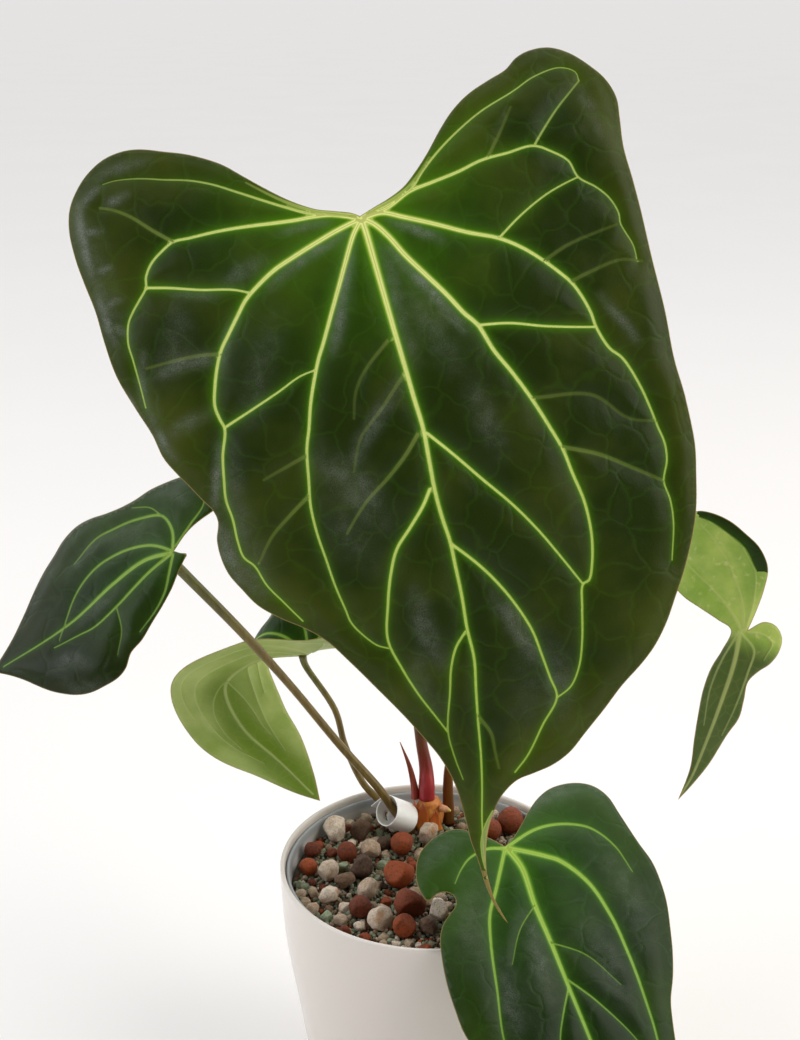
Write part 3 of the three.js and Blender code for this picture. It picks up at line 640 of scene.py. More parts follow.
# %% Underside of a leaf
def under_side(name, base, pale, vein, mottle=0.5, roughness=0.5, middle=None, tip=None, specks=None):
    """middle tints the strip along the midrib, and tip paints the part beyond the joint darker, as painted
    shade.
    """
    def finish(tree):
        flat = node(tree, "Attribute", out="Vector", attribute_name="blade")
        rib, power, edge = (
            node(tree, "Attribute", out="Fac", attribute_name=fact) for fact in ("rib", "power", "edge")
        )
        cloud = node(tree, "TexNoise", {"Vector": flat, "Scale": 48.0, "Detail": 4.0})
        fine = node(tree, "TexNoise", {"Vector": flat, "Scale": 230.0, "Detail": 4.0})
        grain = node(tree, "TexNoise", {"Vector": flat, "Scale": 1200.0, "Detail": 2.0})
        net = node(tree, "TexVoronoi", {"Vector": flat, "Scale": 130.0}, "Distance",
                   feature="DISTANCE_TO_EDGE", voronoi_dimensions="2D")
        down = node(tree, "SeparateXYZ", {0: flat}, 1)
        patch = node(tree, "MapRange", {0: cloud, 1: 0.5 - 0.2 * mottle, 2: 0.5 + 0.2 * mottle}, **SMOOTH)
        body = node(tree, "Mix", {0: patch, 6: linear(base), 7: linear(pale)}, 2, **COLOUR)
        if middle:
            aside = node(tree, "Math", {0: node(tree, "SeparateXYZ", {0: flat}, 0)}, operation="ABSOLUTE")
            strip = node(tree, "MapRange", {0: aside, 1: 0.003, 2: 0.019, 3: 0.9, 4: 0.0}, **SMOOTH)
            lower = node(tree, "MapRange", {0: down, 1: 0.02, 2: 0.07}, **SMOOTH)
            strip = node(tree, "Math", {0: strip, 1: lower}, operation="MULTIPLY")
            body = node(tree, "Mix", {0: strip, 6: body, 7: linear(middle)}, 2, **COLOUR)
        if specks:
            spot = node(tree, "MapRange", {0: fine, 1: 0.56, 2: 0.74, 3: 0.0, 4: 0.6}, **SMOOTH)
            body = node(tree, "Mix", {0: spot, 6: body, 7: linear(specks)}, 2, **COLOUR)
        # painted shade: the part beyond the joint takes the darker tip colour
        if tip:
            shaded_tip_share = node(tree, "MapRange", {0: down, 1: -0.002, 2: 0.012, 3: 0.0, 4: 0.92}, **SMOOTH)
            body = node(tree, "Mix", {0: shaded_tip_share, 6: body, 7: linear(tip)}, 2, **COLOUR)
        line = node(tree, "MapRange", {0: net, 1: 0.0, 2: 0.08, 3: 0.05, 4: 0.0}, **SMOOTH)
        body = node(tree, "Mix", {0: line, 6: body, 7: linear(vein)}, 2, **COLOUR)
        core = node(tree, "MapRange", {0: rib, 1: 0.5, 2: 1.8, 3: 0.7, 4: 0.0}, **SMOOTH)
        core = node(tree, "Math", {0: core, 1: power}, operation="MULTIPLY")
        body = node(tree, "Mix", {0: core, 6: body, 7: linear(vein)}, 2, **COLOUR)
        hem = node(tree, "MapRange", {0: edge, 1: 0.12, 2: 0.6, 3: 0.85, 4: 0.0}, **SMOOTH)
        body = node(tree, "Mix", {0: hem, 6: body, 7: linear("#a08148")}, 2, **COLOUR)
        rise = node(tree, "Math", {0: grain, 1: 0.3, 2: fine}, operation="MULTIPLY_ADD")
        return body, node(tree, "Bump", {"Height": rise, "Strength": 0.3, "Distance": 0.0004})

    return new_material(name, roughness, 1.4, finish)


# %% [markdown]
# ## The largest leaf
# This leaf is seen square on. Its plane stands across the view 640 mm from the camera, its sides
# fall back by 10 mm, its tip by about 20 and its two lobes by 12. Each vein is given by its width
# at both ends, its brightness at both ends, and the places it passes, in picture points from the
# joint outwards. A point is 0.43 mm here.


# %% A plane through the joint with slow bends
def seen_leaf(joint, depth, facing, tip, side, tip_drop, lobes):
    origin = EYE + sight(joint) * depth
    out = unit(facing)
    along = unit(on_plane(np.array([tip], float), origin, out, 0)[0] - origin)
    across = np.cross(out, along)

    def place(seen):
        flat = on_plane(seen, origin, out, np.zeros(len(seen))) - origin
        s, d = flat @ across, flat @ along
        lift = -side[0] * (s / side[1]) ** 2
        lift -= tip_drop[0] * (np.maximum(d, 0) / tip_drop[1]) ** 2
        lift -= lobes[0] * (np.maximum(-d, 0) / lobes[1]) ** 2
        return on_plane(seen, origin, out, lift), np.column_stack([s, d])

    return place


main_place = seen_leaf((361, 218), 640, -AHEAD, (492, 900), (10, 130), (22, 300), (12, 70))

# %% Its outline, from the notch down the left side to the tip and back up
MAIN_OUTLINE = [
    (360, 216), (352, 213), (335, 211), (316, 209), (294, 202), (268, 190), (244, 177), (223, 165),
    (207, 159), (186, 154), (164, 152), (140, 150), (123, 152), (103, 160), (86, 175), (75, 194),
    (69, 213), (69, 233), (75, 257), (85, 285), (95, 311), (104, 341), (117, 378), (136, 410),
    (152, 435), (163, 458), (175, 472), (189, 486), (202, 500), (213, 511), (218, 522), (217, 540),
    (221, 558), (229, 575), (242, 590), (257, 605), (280, 618), (306, 629), (328, 642), (349, 661),
    (375, 687), (402, 714), (421, 735), (439, 756), (450, 774), (457, 790), (466, 822), (471, 842),
    (476, 855), (480, 867), (484, 881), (489, 894), (496, 908), (504, 919), (508, 923), (501, 911),
    (494, 898), (490, 885), (487, 873), (486, 861), (486, 849), (487, 838), (489, 827), (494, 812),
    (499, 800), (506, 790), (517, 780), (534, 773), (552, 765), (569, 752), (584, 734),
    (602, 712), (621, 687), (641, 664), (656, 643), (667, 621), (675, 597), (685, 568), (692, 537),
    (696, 508), (696, 474), (695, 441), (685, 398), (676, 365), (666, 316), (651, 253), (642, 214),
    (633, 181), (624, 148), (620, 120), (616, 98), (605, 79), (588, 64), (568, 52), (549, 47),
    (531, 50), (516, 58), (505, 70), (488, 80), (468, 94), (451, 112), (440, 129), (427, 153),
    (416, 170), (403, 187), (388, 199), (373, 208),
]

# %% Its veins
MAIN_RIBS = [
    # the seven that fan out from the joint, left to right
    (3, 1, 0.75, 0.2, [
        (352, 217), (307, 213), (288, 208), (264, 201), (238, 193), (212, 185), (190, 181), (164, 180),
        (138, 179), (116, 181), (103, 185)
    ]),
    (3.8, 1.3, 1, 0.5, [
        (359, 219), (350, 217), (330, 215), (312, 217), (297, 220), (277, 223), (246, 227), (216, 232),
        (190, 238), (173, 242), (162, 251), (151, 264), (146, 277), (146, 288), (140, 300), (133, 313),
        (129, 324), (129, 344), (134, 361), (141, 387), (146, 408)
    ]),
    (4.6, 1.4, 1, 0.55, [
        (360, 220), (354, 222), (338, 230), (321, 240), (308, 248), (294, 257), (275, 270), (259, 285),
        (246, 300), (238, 315), (229, 333), (221, 350), (217, 367), (215, 385), (215, 406), (220, 419),
        (225, 429), (223, 456), (224, 479), (226, 500), (233, 520), (238, 541), (244, 557), (255, 566),
        (267, 585), (285, 603), (303, 621)
    ]),
    (4.4, 1.4, 1, 0.5, [
        (361, 220), (357, 227), (353, 236), (345, 264), (339, 286), (332, 311), (323, 344), (318, 361),
        (311, 401), (309, 429), (307, 449), (309, 481), (311, 507), (318, 536), (326, 559), (335, 585),
        (345, 608), (351, 622), (361, 633), (377, 645), (388, 648)
    ]),
    (5.8, 1.2, 1, 0.6, [
        (362, 220), (366, 232), (370, 246), (378, 274), (386, 302), (394, 330), (405, 367), (414, 398),
        (423, 428), (430, 465), (435, 491), (442, 517), (450, 541), (455, 564), (462, 597), (467, 628),
        (474, 658), (476, 690), (478, 720), (481, 755), (482, 788), (482, 816), (483, 840), (486, 870),
        (492, 893), (500, 912)
    ]),
    (5, 1.5, 1, 0.6, [
        (363, 219), (374, 224), (388, 236), (405, 255), (426, 275), (447, 295), (464, 313), (478, 325),
        (494, 350), (512, 372), (531, 398), (549, 426), (563, 450), (572, 473), (583, 499), (589, 521),
        (592, 541), (592, 564), (589, 580), (583, 584), (582, 608), (582, 638), (579, 666), (571, 686),
        (557, 698)
    ]),
    (4.4, 1.2, 1, 0.5, [
        (364, 218), (382, 213), (403, 217), (436, 224), (468, 232), (499, 238), (523, 248), (544, 261),
        (559, 272), (572, 283), (583, 298), (591, 313), (596, 327), (609, 348), (622, 358), (640, 385),
        (650, 406), (658, 426), (665, 443), (667, 460), (664, 481), (670, 499), (673, 519), (672, 560)
    ]),
    (3.6, 1.1, 0.95, 0.35, [
        (363, 216), (386, 209), (410, 191), (432, 182), (458, 172), (481, 161), (507, 154), (533, 147),
        (553, 153), (568, 161), (578, 177), (596, 187), (609, 198), (618, 213), (620, 224), (633, 246),
        (637, 261)
    ]),
    (2.6, 1, 0.7, 0.3, [
        (368, 214), (388, 204), (410, 190), (423, 170), (440, 149), (460, 129), (481, 112), (512, 93),
        (533, 78), (559, 68), (575, 72), (579, 81)
    ]),
    # the yellow-green band inside both edges of the notch
    (5, 2, 0.5, 0.1, [
        (356, 216), (346, 215), (330, 213), (314, 211), (294, 205), (270, 195), (246, 183)
    ]),
    (5, 2, 0.5, 0.1, [(367, 214), (378, 208), (391, 201), (405, 190), (417, 176), (429, 157)]),
    # the fold of the margin above the tip
    (1.2, 1.2, 0.5, 0.5, [
        (498, 802), (495, 807), (488, 819), (483, 831), (481, 842), (482, 856), (485, 868), (487, 878)
    ]),
    # branches and the veins that tie them together
    (4, 2.8, 0.15, 0.08, [(173, 242), (153, 231), (132, 218), (114, 211), (101, 209)]),
    (2.6, 2, 0.85, 0.7, [(146, 288), (168, 288), (201, 290), (233, 290), (250, 293)]),
    (4, 2.8, 0.09, 0.06, [(220, 354), (198, 356), (175, 361), (147, 369)]),
    (2.6, 1.6, 0.8, 0.65, [(226, 427), (255, 408), (280, 391), (299, 377), (315, 370)]),
    (4, 2.8, 0.13, 0.06, [(308, 497), (290, 516), (273, 536), (260, 562)]),
    (4, 2.8, 0.09, 0.05, [(306, 456), (285, 468), (264, 480)]),
    (4.4, 2.8, 0.14, 0.07, [(418, 434), (405, 456), (388, 478), (368, 500), (356, 518), (347, 534)]),
    (3.4, 1.6, 0.9, 0.5, [
        (430, 489), (423, 506), (410, 528), (397, 549), (391, 573), (388, 604), (388, 640), (402, 668),
        (418, 693), (434, 714), (448, 732)
    ]),
    (2.4, 1.2, 0.7, 0.3, [
        (465, 632), (456, 647), (451, 668), (450, 690), (448, 731), (454, 755), (463, 779)
    ]),
    (4, 2.8, 0.08, 0.04, [(403, 376), (381, 410), (361, 438), (354, 472)]),
    (4, 2.8, 0.08, 0.04, [(388, 341), (365, 371), (356, 392), (354, 419)]),
    (3, 1.8, 0.9, 0.7, [
        (428, 434), (453, 454), (481, 478), (512, 504), (538, 530), (562, 558), (583, 584)
    ]),
    (2.8, 1.6, 0.85, 0.55, [
        (453, 545), (473, 560), (490, 575), (510, 597), (527, 621), (534, 634), (543, 658), (550, 677),
        (557, 697), (543, 725), (528, 755), (515, 772)
    ]),
    (4, 2.5, 0.13, 0.06, [(478, 716), (491, 733), (495, 751), (499, 768)]),
    (2.6, 2, 0.85, 0.8, [(478, 325), (510, 323), (544, 326), (577, 327), (595, 327)]),
    (4.4, 3.2, 0.13, 0.08, [(562, 447), (598, 454), (631, 467), (664, 481)]),
    (4, 2.8, 0.08, 0.05, [(533, 398), (592, 395), (629, 418), (657, 421)]),
    (2.2, 1.6, 0.7, 0.5, [(499, 238), (520, 216), (544, 196), (562, 185), (578, 177)]),
    (4, 2.8, 0.08, 0.04, [(544, 261), (566, 246), (590, 235), (616, 225)]),
    (4, 2.8, 0.08, 0.04, [(572, 281), (594, 270), (620, 260), (642, 261)]),
    (2.2, 1.8, 0.4, 0.2, [(534, 146), (544, 129), (557, 109), (579, 81)]),
    (3.7, 2.5, 0.09, 0.04, [(488, 157), (499, 135), (510, 109)]),
]

# %% Where its painted sheen lies: width, strength and places
MAIN_SHEEN_STRIPS = [
    (6, 0.8, [(352, 240), (348, 262), (343, 290), (339, 320), (334, 350)]),
    (6, 0.85, [(392, 248), (406, 264), (424, 284), (442, 304), (462, 328)]),
    (8, 0.45, [(380, 246), (390, 272), (398, 304), (406, 334), (416, 362)]),
    (5, 0.75, [(390, 222), (405, 226), (421, 232), (440, 239)]),
    (6, 0.75, [(345, 234), (328, 243), (308, 255), (290, 268), (272, 286)]),
    (5, 0.45, [(330, 221), (305, 227), (280, 233)]),
    (8, 0.45, [(402, 382), (388, 402), (372, 426), (358, 452), (350, 476)]),
    (17, 0.5, [(322, 462), (340, 474), (360, 492), (376, 520)]),
    (16, 0.22, [(330, 500), (352, 540), (376, 566)]),
    (8, 0.75, [(160, 376), (178, 366), (198, 360), (214, 357)]),
    (5, 0.6, [(146, 352), (142, 380), (148, 412), (162, 440)]),
    (7, 0.5, [(172, 436), (188, 424), (208, 414)]),
    (5, 0.9, [(221, 444), (219, 464), (217, 486), (215, 506)]),
    (12, 0.7, [(222, 520), (226, 545), (240, 570), (262, 588)]),
    (14, 0.25, [(250, 420), (262, 360), (276, 320)]),
    (12, 0.3, [(470, 380), (486, 420), (500, 452)]),
    (5, 0.65, [(236, 318), (228, 336), (223, 354), (221, 374)]),
    (9, 0.4, [(262, 262), (244, 272), (226, 284)]),
    (5, 0.5, [(216, 296), (196, 295), (174, 296)]),
    (5, 0.95, [(79, 206), (84, 240), (94, 278)]),
    (5, 0.9, [(98, 290), (106, 318), (118, 346)]),
    (4, 0.95, [(112, 268), (98, 274)]),
    (4, 0.85, [(124, 300), (108, 306)]),
    (5, 0.85, [(126, 334), (112, 326)]),
    (4, 0.85, [(104, 232), (86, 236)]),
    (4, 0.8, [(140, 420), (124, 392)]),
    (5, 0.8, [(152, 424), (174, 458)]),
    (4, 0.8, [(128, 196), (108, 206)]),
    (4, 0.75, [(100, 186), (84, 208)]),
    (16, 0.28, [(84, 220), (100, 280), (124, 350)]),
    (15, 0.3, [(228, 440), (232, 500), (262, 570)]),
    (14, 0.3, [(404, 292), (432, 330), (456, 366)]),
    (16, 0.25, [(180, 300), (176, 340), (166, 380)]),
    (10, 0.25, [(426, 640), (420, 680), (436, 706)]),
    (14, 0.15, [(520, 650), (530, 690), (514, 730)]),
    (16, 0.35, [(540, 640), (556, 680), (560, 720)]),
    (10, 0.5, [(498, 600), (520, 630), (534, 662)]),
    (10, 0.45, [(415, 590), (425, 630), (440, 660)]),
    (5, 0.5, [(600, 296), (618, 318), (636, 342)]),
    (6, 0.35, [(575, 90), (590, 110), (600, 140)]),
    (5, 0.5, [(92, 196), (100, 180), (118, 170), (150, 162)]),
]

# %% Where its right margin curls over above the tip: there the upper and lower sheets swap their finishes
MAIN_CURL = [
    (500, 799), (495, 807), (488, 819), (483, 831), (481, 842), (482, 856), (485, 868), (488, 883),
    (492, 886), (489, 873), (487, 861), (487, 849), (489, 838), (491, 827), (496, 812),
]


# %% Build it
main_upper = upper_side("leaf_upper_side_mature", "#1f2c06", "#39430c", "#4a8010", "#e2e88c", "#bdd060")
main_under = under_side("leaf_underside_mature", "#74883f", "#87994f", "#a9b56c", 1.3)
leaf("largest_leaf", MAIN_OUTLINE, (508, 923), MAIN_RIBS, main_place, 3.9,
     [main_upper, main_under], ["main_leaf"], scale=0.43, quilt=2.2, wave=1.4, ruffle=1.2, seed=1.3,
     sheen_strips=MAIN_SHEEN_STRIPS, folded=MAIN_CURL)

# %% [markdown]
# ## The leaf in front on the right
# It grows over the pot's edge and hangs down in front of it. Its joint shows, and its lower part
# leaves the picture, so the tip is completed the way the leaf above it ends. It is younger, so
# its veins are greener and finer.

# %% Front leaf
FRONT_OUTLINE = [
    (505, 846), (513, 838), (521, 825), (528, 812), (537, 799), (549, 789), (563, 784), (580, 783),
    (595, 787), (608, 797), (618, 812), (630, 830), (640, 845), (652, 862), (660, 880), (666, 900),
    (670, 925), (673, 950), (673, 975), (671, 1000), (673, 1020), (676, 1045), (678, 1080),
    (676, 1110), (668, 1140), (655, 1165), (643, 1185), (625, 1165), (590, 1135), (550, 1105),
    (510, 1080), (480, 1055), (465, 1035), (455, 1010), (447, 985), (442, 960), (440, 940),
    (443, 925), (450, 914), (456, 905), (454, 896), (446, 892), (437, 894), (428, 901),
    (421, 893), (416, 878), (417, 862), (422, 850), (431, 840), (444, 832), (457, 829), (472, 832),
    (490, 838),
]
FRONT_RIBS = [
    (5.2, 1.6, 0.95, 0.6, [
        (507, 848), (522, 868), (535, 905), (551, 943), (566, 980), (590, 1040), (612, 1100), (632, 1155),
        (641, 1178)
    ]),
    (3.4, 1.4, 0.8, 0.4, [
        (505, 849), (496, 890), (490, 915), (491, 945), (497, 990), (504, 1040), (520, 1080)
    ]),
    (4.2, 1.4, 0.9, 0.45, [
        (509, 848), (545, 857), (560, 862), (590, 885), (612, 918), (626, 950), (645, 1000), (655, 1030),
        (664, 1075), (662, 1120)
    ]),
    (3.2, 1.2, 0.8, 0.3, [(508, 846), (535, 830), (562, 825), (590, 829), (614, 846), (632, 872)]),
    (3, 1, 0.8, 0.3, [(503, 848), (487, 849), (470, 858), (461, 870), (455, 884)]),
    (2, 1, 0.5, 0.3, [(568, 980), (595, 1000), (635, 1038), (652, 1062)]),
    (2, 1, 0.5, 0.3, [(568, 990), (563, 1015), (560, 1040), (566, 1080)]),
    (1.6, 1, 0.35, 0.2, [(551, 943), (585, 955), (620, 985)]),
    (1.4, 1, 0.3, 0.2, [(535, 905), (520, 930), (512, 965)]),
]
front_place = seen_leaf((507, 848), 714, (0.1, -0.35, 0.93), (643, 1185), (5, 60), (46, 150), (3, 40))
# painted sheen strips on the front leaf: width, strength and places
FRONT_SHEEN_STRIPS = [
    (14, 0.32, [(478, 880), (470, 920), (472, 965)]),
    (10, 0.4, [(528, 920), (538, 960), (552, 1000)]),
    (16, 0.26, [(600, 850), (628, 890), (644, 940)]),
    (9, 0.4, [(515, 815), (540, 800), (570, 792)]),
    (14, 0.28, [(590, 930), (606, 960), (622, 1000)]),
    (9, 0.35, [(424, 870), (436, 856), (456, 844)]),
    (10, 0.4, [(500, 960), (508, 1000), (516, 1040)]),
]
front_upper = upper_side("leaf_upper_side_young", "#152607", "#293c10", "#3d6f18", "#9dbd50", "#749a3c", 0.34,
                         flank_near="#6f9a34", flank_far="#44701c")
front_under = under_side("leaf_underside_young", "#566f2d", "#6d8438", "#93a852")
leaf("front_leaf_blade", FRONT_OUTLINE, (643, 1185), FRONT_RIBS, front_place, 4.2,
     [front_upper, front_under], ["front_leaf"], scale=0.48, quilt=1.8, wave=0.9, ruffle=0.6, seed=2.1,
     halo_reach=30, sheen_strips=FRONT_SHEEN_STRIPS)

# %% [markdown]
# ## The leaf on the left
# It leans away to the left and shows its upper side at a low angle. Its far half and lobe are
# dark, and its veins fan out close together towards the tip.

# %% Left leaf
LEFT_OUTLINE = [
    (174, 551), (184, 536), (193, 526), (203, 518), (213, 511), (222, 502), (224, 491), (216, 482),
    (203, 476), (190, 475), (178, 478), (165, 483), (150, 490), (135, 500), (120, 508), (105, 514),
    (90, 519), (76, 527), (63, 541), (54, 556), (44, 572), (34, 592), (24, 615), (12, 640),
    (0, 660), (-8, 672), (8, 675), (24, 680), (40, 687), (54, 692), (75, 695), (90, 693),
    (105, 686), (118, 678), (126, 668), (131, 653), (142, 640), (152, 623), (163, 605), (172, 588),
    (178, 573), (184, 560), (187, 554), (180, 553),
]
LEFT_RIBS = [
    (2.6, 1.2, 0.7, 0.3, [(173, 551), (150, 545), (125, 550), (100, 565), (80, 590), (60, 640)]),
    (3.4, 1.2, 0.9, 0.5, [(171, 553), (145, 560), (115, 583), (90, 607), (73, 622), (40, 645), (4, 667)]),
    (2.6, 1.2, 0.8, 0.4, [(171, 554), (150, 572), (117, 607), (95, 627), (80, 635), (55, 648)]),
    (2.2, 1.1, 0.7, 0.3, [(173, 555), (169, 575), (165, 592), (156, 610), (140, 632)]),
    (2.6, 1.1, 0.7, 0.25, [
        (173, 549), (172, 530), (162, 516), (140, 518), (115, 528), (95, 540), (75, 565)
    ]),
    (2.2, 1, 0.6, 0.25, [(176, 546), (190, 525), (204, 505), (205, 492)]),
    (1.5, 1, 0.35, 0.2, [(162, 516), (150, 508), (132, 508)]),
    (1.5, 1, 0.35, 0.2, [(117, 607), (122, 630), (118, 655)]),
]
left_place = seen_leaf((173, 552), 718, (-0.25, -0.62, 0.74), (-8, 672), (14, 60), (16, 100), (3, 40))
# painted sheen strips on the left leaf: width, strength and places
LEFT_SHEEN_STRIPS = [
    (9, 0.3, [(150, 530), (128, 536), (108, 548)]),
    (7, 0.45, [(58, 668), (72, 660), (90, 664)]),
    (8, 0.3, [(120, 588), (100, 606), (84, 622)]),
    (7, 0.25, [(190, 510), (180, 498), (160, 500)]),
    (9, 0.35, [(62, 685), (85, 690), (106, 682)]),
    (8, 0.25, [(110, 530), (90, 548), (70, 580)]),
]
left_upper = upper_side("leaf_upper_side_shaded", "#111a06", "#242c0e", "#3b631c", "#96b250", "#6f9040", 0.32,
                        flank_near="#6f9a34", flank_far="#44701c")
leaf("left_leaf_blade", LEFT_OUTLINE, (-8, 672), LEFT_RIBS, left_place, 3.2,
     [left_upper, front_under], ["left_leaf"], scale=0.48, quilt=1.8, wave=1.2, seed=3.7, halo_reach=25,
     sheen_strips=LEFT_SHEEN_STRIPS)

# %% [markdown]
# ## The leaf on the right edge
# This one turns its back to the view: the light yellow-green underside shows, mottled where the light comes
# through, with ridged veins. Its part beyond the joint, which hangs down, is painted a darker green as
# painted shade. The picture cuts it off, so its outer lobe is completed plainly.

# %% Right leaf
RIGHT_OUTLINE = [
    (748, 630), (756, 612), (764, 590), (768, 568), (760, 548), (745, 533), (730, 521), (712, 513),
    (697, 511), (682, 518), (669, 538), (665, 562), (672, 583), (684, 597), (700, 608), (718, 620),
    (731, 630), (722, 650), (711, 668), (703, 690), (698, 715), (694, 740), (690, 768), (678, 800),
    (692, 785), (709, 764), (727, 735), (739, 718), (744, 700), (748, 682), (758, 672), (770, 664),
    (779, 652), (782, 638), (776, 626), (764, 622),
]
RIGHT_RIBS = [
    (4, 1.6, 1, 0.7, [(740, 632), (735, 660), (722, 700), (707, 740), (692, 776), (682, 793)]),
    (2.6, 1.2, 0.9, 0.4, [(742, 630), (728, 606), (708, 584), (690, 566), (678, 545)]),
    (2.2, 1.1, 0.8, 0.4, [(744, 628), (742, 600), (732, 570), (716, 540), (702, 524)]),
    (2.2, 1.1, 0.8, 0.4, [(746, 628), (754, 600), (755, 570), (742, 545)]),
    (2.2, 1.1, 0.8, 0.4, [(742, 634), (754, 650), (748, 672), (736, 705), (722, 735)]),
    (2, 1, 0.7, 0.4, [(738, 634), (722, 660), (710, 690), (704, 725)]),
    (2, 1, 0.7, 0.4, [(748, 632), (762, 634), (772, 642), (764, 660)]),
    (1.4, 1.4, 0.6, 0.6, [(699, 517), (712, 522), (728, 533), (745, 548), (754, 566), (757, 572)]),
]
right_place = seen_leaf((744, 633), 740, (-0.3, -0.9, 0.3), (678, 800), (8, 50), (10, 90), (-14, 60))
RIGHT_TURNED = [
    (696, 508), (699, 517), (712, 522), (728, 533), (745, 548), (754, 566), (757, 572), (775, 572),
    (765, 545), (747, 529), (731, 517), (712, 509),
]
right_under = under_side("leaf_underside_backlit", "#8dac46", "#b8ca66", "#c0ca78", 0.8, 0.42,
                         tip="#40531b", specks="#d6d68e")
leaf("right_leaf_blade", RIGHT_OUTLINE, (678, 800), RIGHT_RIBS, right_place, 2.8,
     [left_upper, right_under], ["right_leaf"], scale=0.49, quilt=-1.2, wave=0.9, facing_sign=-1, seed=4.4,
     folded=RIGHT_TURNED)

# %% [markdown]
# ## The leaf behind the pot
# It folds upwards along its midrib next to the stalk and then hangs down behind the pot, with its
# light underside to the view. Flat coordinates would not do here, so it is laid out by stations
# along the midrib, each with the way its near and far half spread.

# %% Back leaf
BACK_LENGTH = 150.0
BACK_MIDRIB = [
    (-63.5, 95, 209), (-92, 99, 203), (-112, 103, 186), (-104, 103, 160), (-84, 98, 142), (-60, 92, 119),
]
BACK_NEAR = [
    (0, -0.8, 0.6), (-0.3, -0.75, 0.6), (-0.85, -0.5, 0.2), (-0.95, -0.2, -0.25), (-0.85, -0.1, -0.5),
    (-0.85, -0.1, -0.5),
]
BACK_FAR = [
    (0.1, 0.4, 0.9), (0.3, 0.5, 0.8), (0.6, 0.65, 0.45), (0.85, 0.4, 0.35), (0.85, 0.2, 0.45),
    (0.85, 0.2, 0.45),
]
BACK_HALF = [
    (3, -7), (10, -17), (20, -22), (30, -18), (37, -6), (40, 12), (37, 30), (34, 50), (30, 72), (26, 94),
    (19, 116), (9, 136),
]


def by_station(stations, share):
    line = flow(stations)
    at = np.clip(share, 0, 1) * (len(line) - 1)
    return np.column_stack([np.interp(at, np.arange(len(line)), column) for column in line.T])


def back_place(places):
    side, down = places[:, 0], places[:, 1]
    share = down / BACK_LENGTH
    middle = by_station(BACK_MIDRIB, share)
    start = unit(np.subtract(BACK_MIDRIB[1], BACK_MIDRIB[0]))
    middle += np.minimum(down, 0)[:, None] * start
    near, far = by_station(BACK_NEAR, share), by_station(BACK_FAR, share)
    blend = 1 / (1 + np.exp(-np.clip(side / 1.2, -30, 30)))[:, None]
    spread = unit(near * (1 - blend) + far * blend)
    return middle + spread * np.abs(side)[:, None], places.astype(float)


back_outline = [(0, 0), *BACK_HALF, (0, BACK_LENGTH), *[(-s, d) for s, d in reversed(BACK_HALF)]]
back_ribs = [(2.4, 0.7, 1, 0.6, [(0, 2), (0, 40), (0, 90), (0, 145)])]
for sign in (-1, 1):
    back_ribs += [
        (1.5, 0.5, 0.8, 0.3, [(0, 2), (sign * 12, 20), (sign * 18, 50), (sign * 14, 90), (sign * 7, 118)]),
        (1.4, 0.5, 0.8, 0.3, [(0, 1), (sign * 18, 8), (sign * 28, 26), (sign * 28, 52), (sign * 21, 80)]),
        (1.2, 0.5, 0.7, 0.3, [(0, 0), (sign * 14, -6), (sign * 26, -8), (sign * 33, 2)]),
        (0.9, 0.4, 0.5, 0.3, [(0, 55), (sign * 10, 80), (sign * 9, 104)]),
    ]
back_under = under_side("leaf_underside_light", "#8ba04c", "#a9b96a", "#b9c67e", 1.1, middle="#5f7a08")
leaf("back_leaf_blade", back_outline, (0, BACK_LENGTH), back_ribs, back_place, 1.7,
     [left_upper, back_under], ["back_leaf"], scale=1.0, quilt=0.9, wave=2.2, ruffle=2.6, facing_sign=-1,
     seed=5.2)

# %% [markdown]
# ## Stalks
# Leaf stalks are round, firm and a little thicker at both ends: they widen where they leave the
# crown, and again just below the leaf, where the joint that turns the leaf to the light sits. A
# circle is swept along each route, carried on without twist.


# %% Sweep a round stalk
def stalk_mesh(route, radii, sides=20, spacing=1.6, lumps=0.0):
    stations = np.linspace(0, len(radii) - 1, len(route))
    radius = np.interp(stations, np.arange(len(radii)), radii)
    line = smooth(np.column_stack([route, radius]), spacing)
    middles, radius = line[:, :3], line[:, 3]
    ahead = unit(np.gradient(middles, axis=0))
    turn = np.linspace(0, 2 * math.pi, sides, endpoint=False)[:, None]
    side = RIGHT
    rings = []
    for i, middle in enumerate(middles):
        side = unit(side - (side @ ahead[i]) * ahead[i])
        other = np.cross(ahead[i], side)
        reach = radius[i] * (1 + lumps * (np.sin(3 * turn + i * 0.4) + np.sin(2 * turn - i * 0.7)))
        rings.append(middle + reach * (np.cos(turn) * side + np.sin(turn) * other))
    count = len(middles)
    faces = [
        (i * sides + k, i * sides + (k + 1) % sides, (i + 1) * sides + (k + 1) % sides, (i + 1) * sides + k)
        for i in range(count - 1) for k in range(sides)
    ]
    faces += [tuple(range(sides))[::-1], tuple((count - 1) * sides + k for k in range(sides))]
    return np.vstack(rings), faces, {"along": np.repeat(np.linspace(0, 1, count), sides)}


# %% [markdown]
# A stalk's skin is brown over green, in fine streaks along its length, with a soft gloss. The
# thickest one is wine red at its foot and turns brown-green on its way up. How far along a point
# lies is stored with it and mixes the two colours.


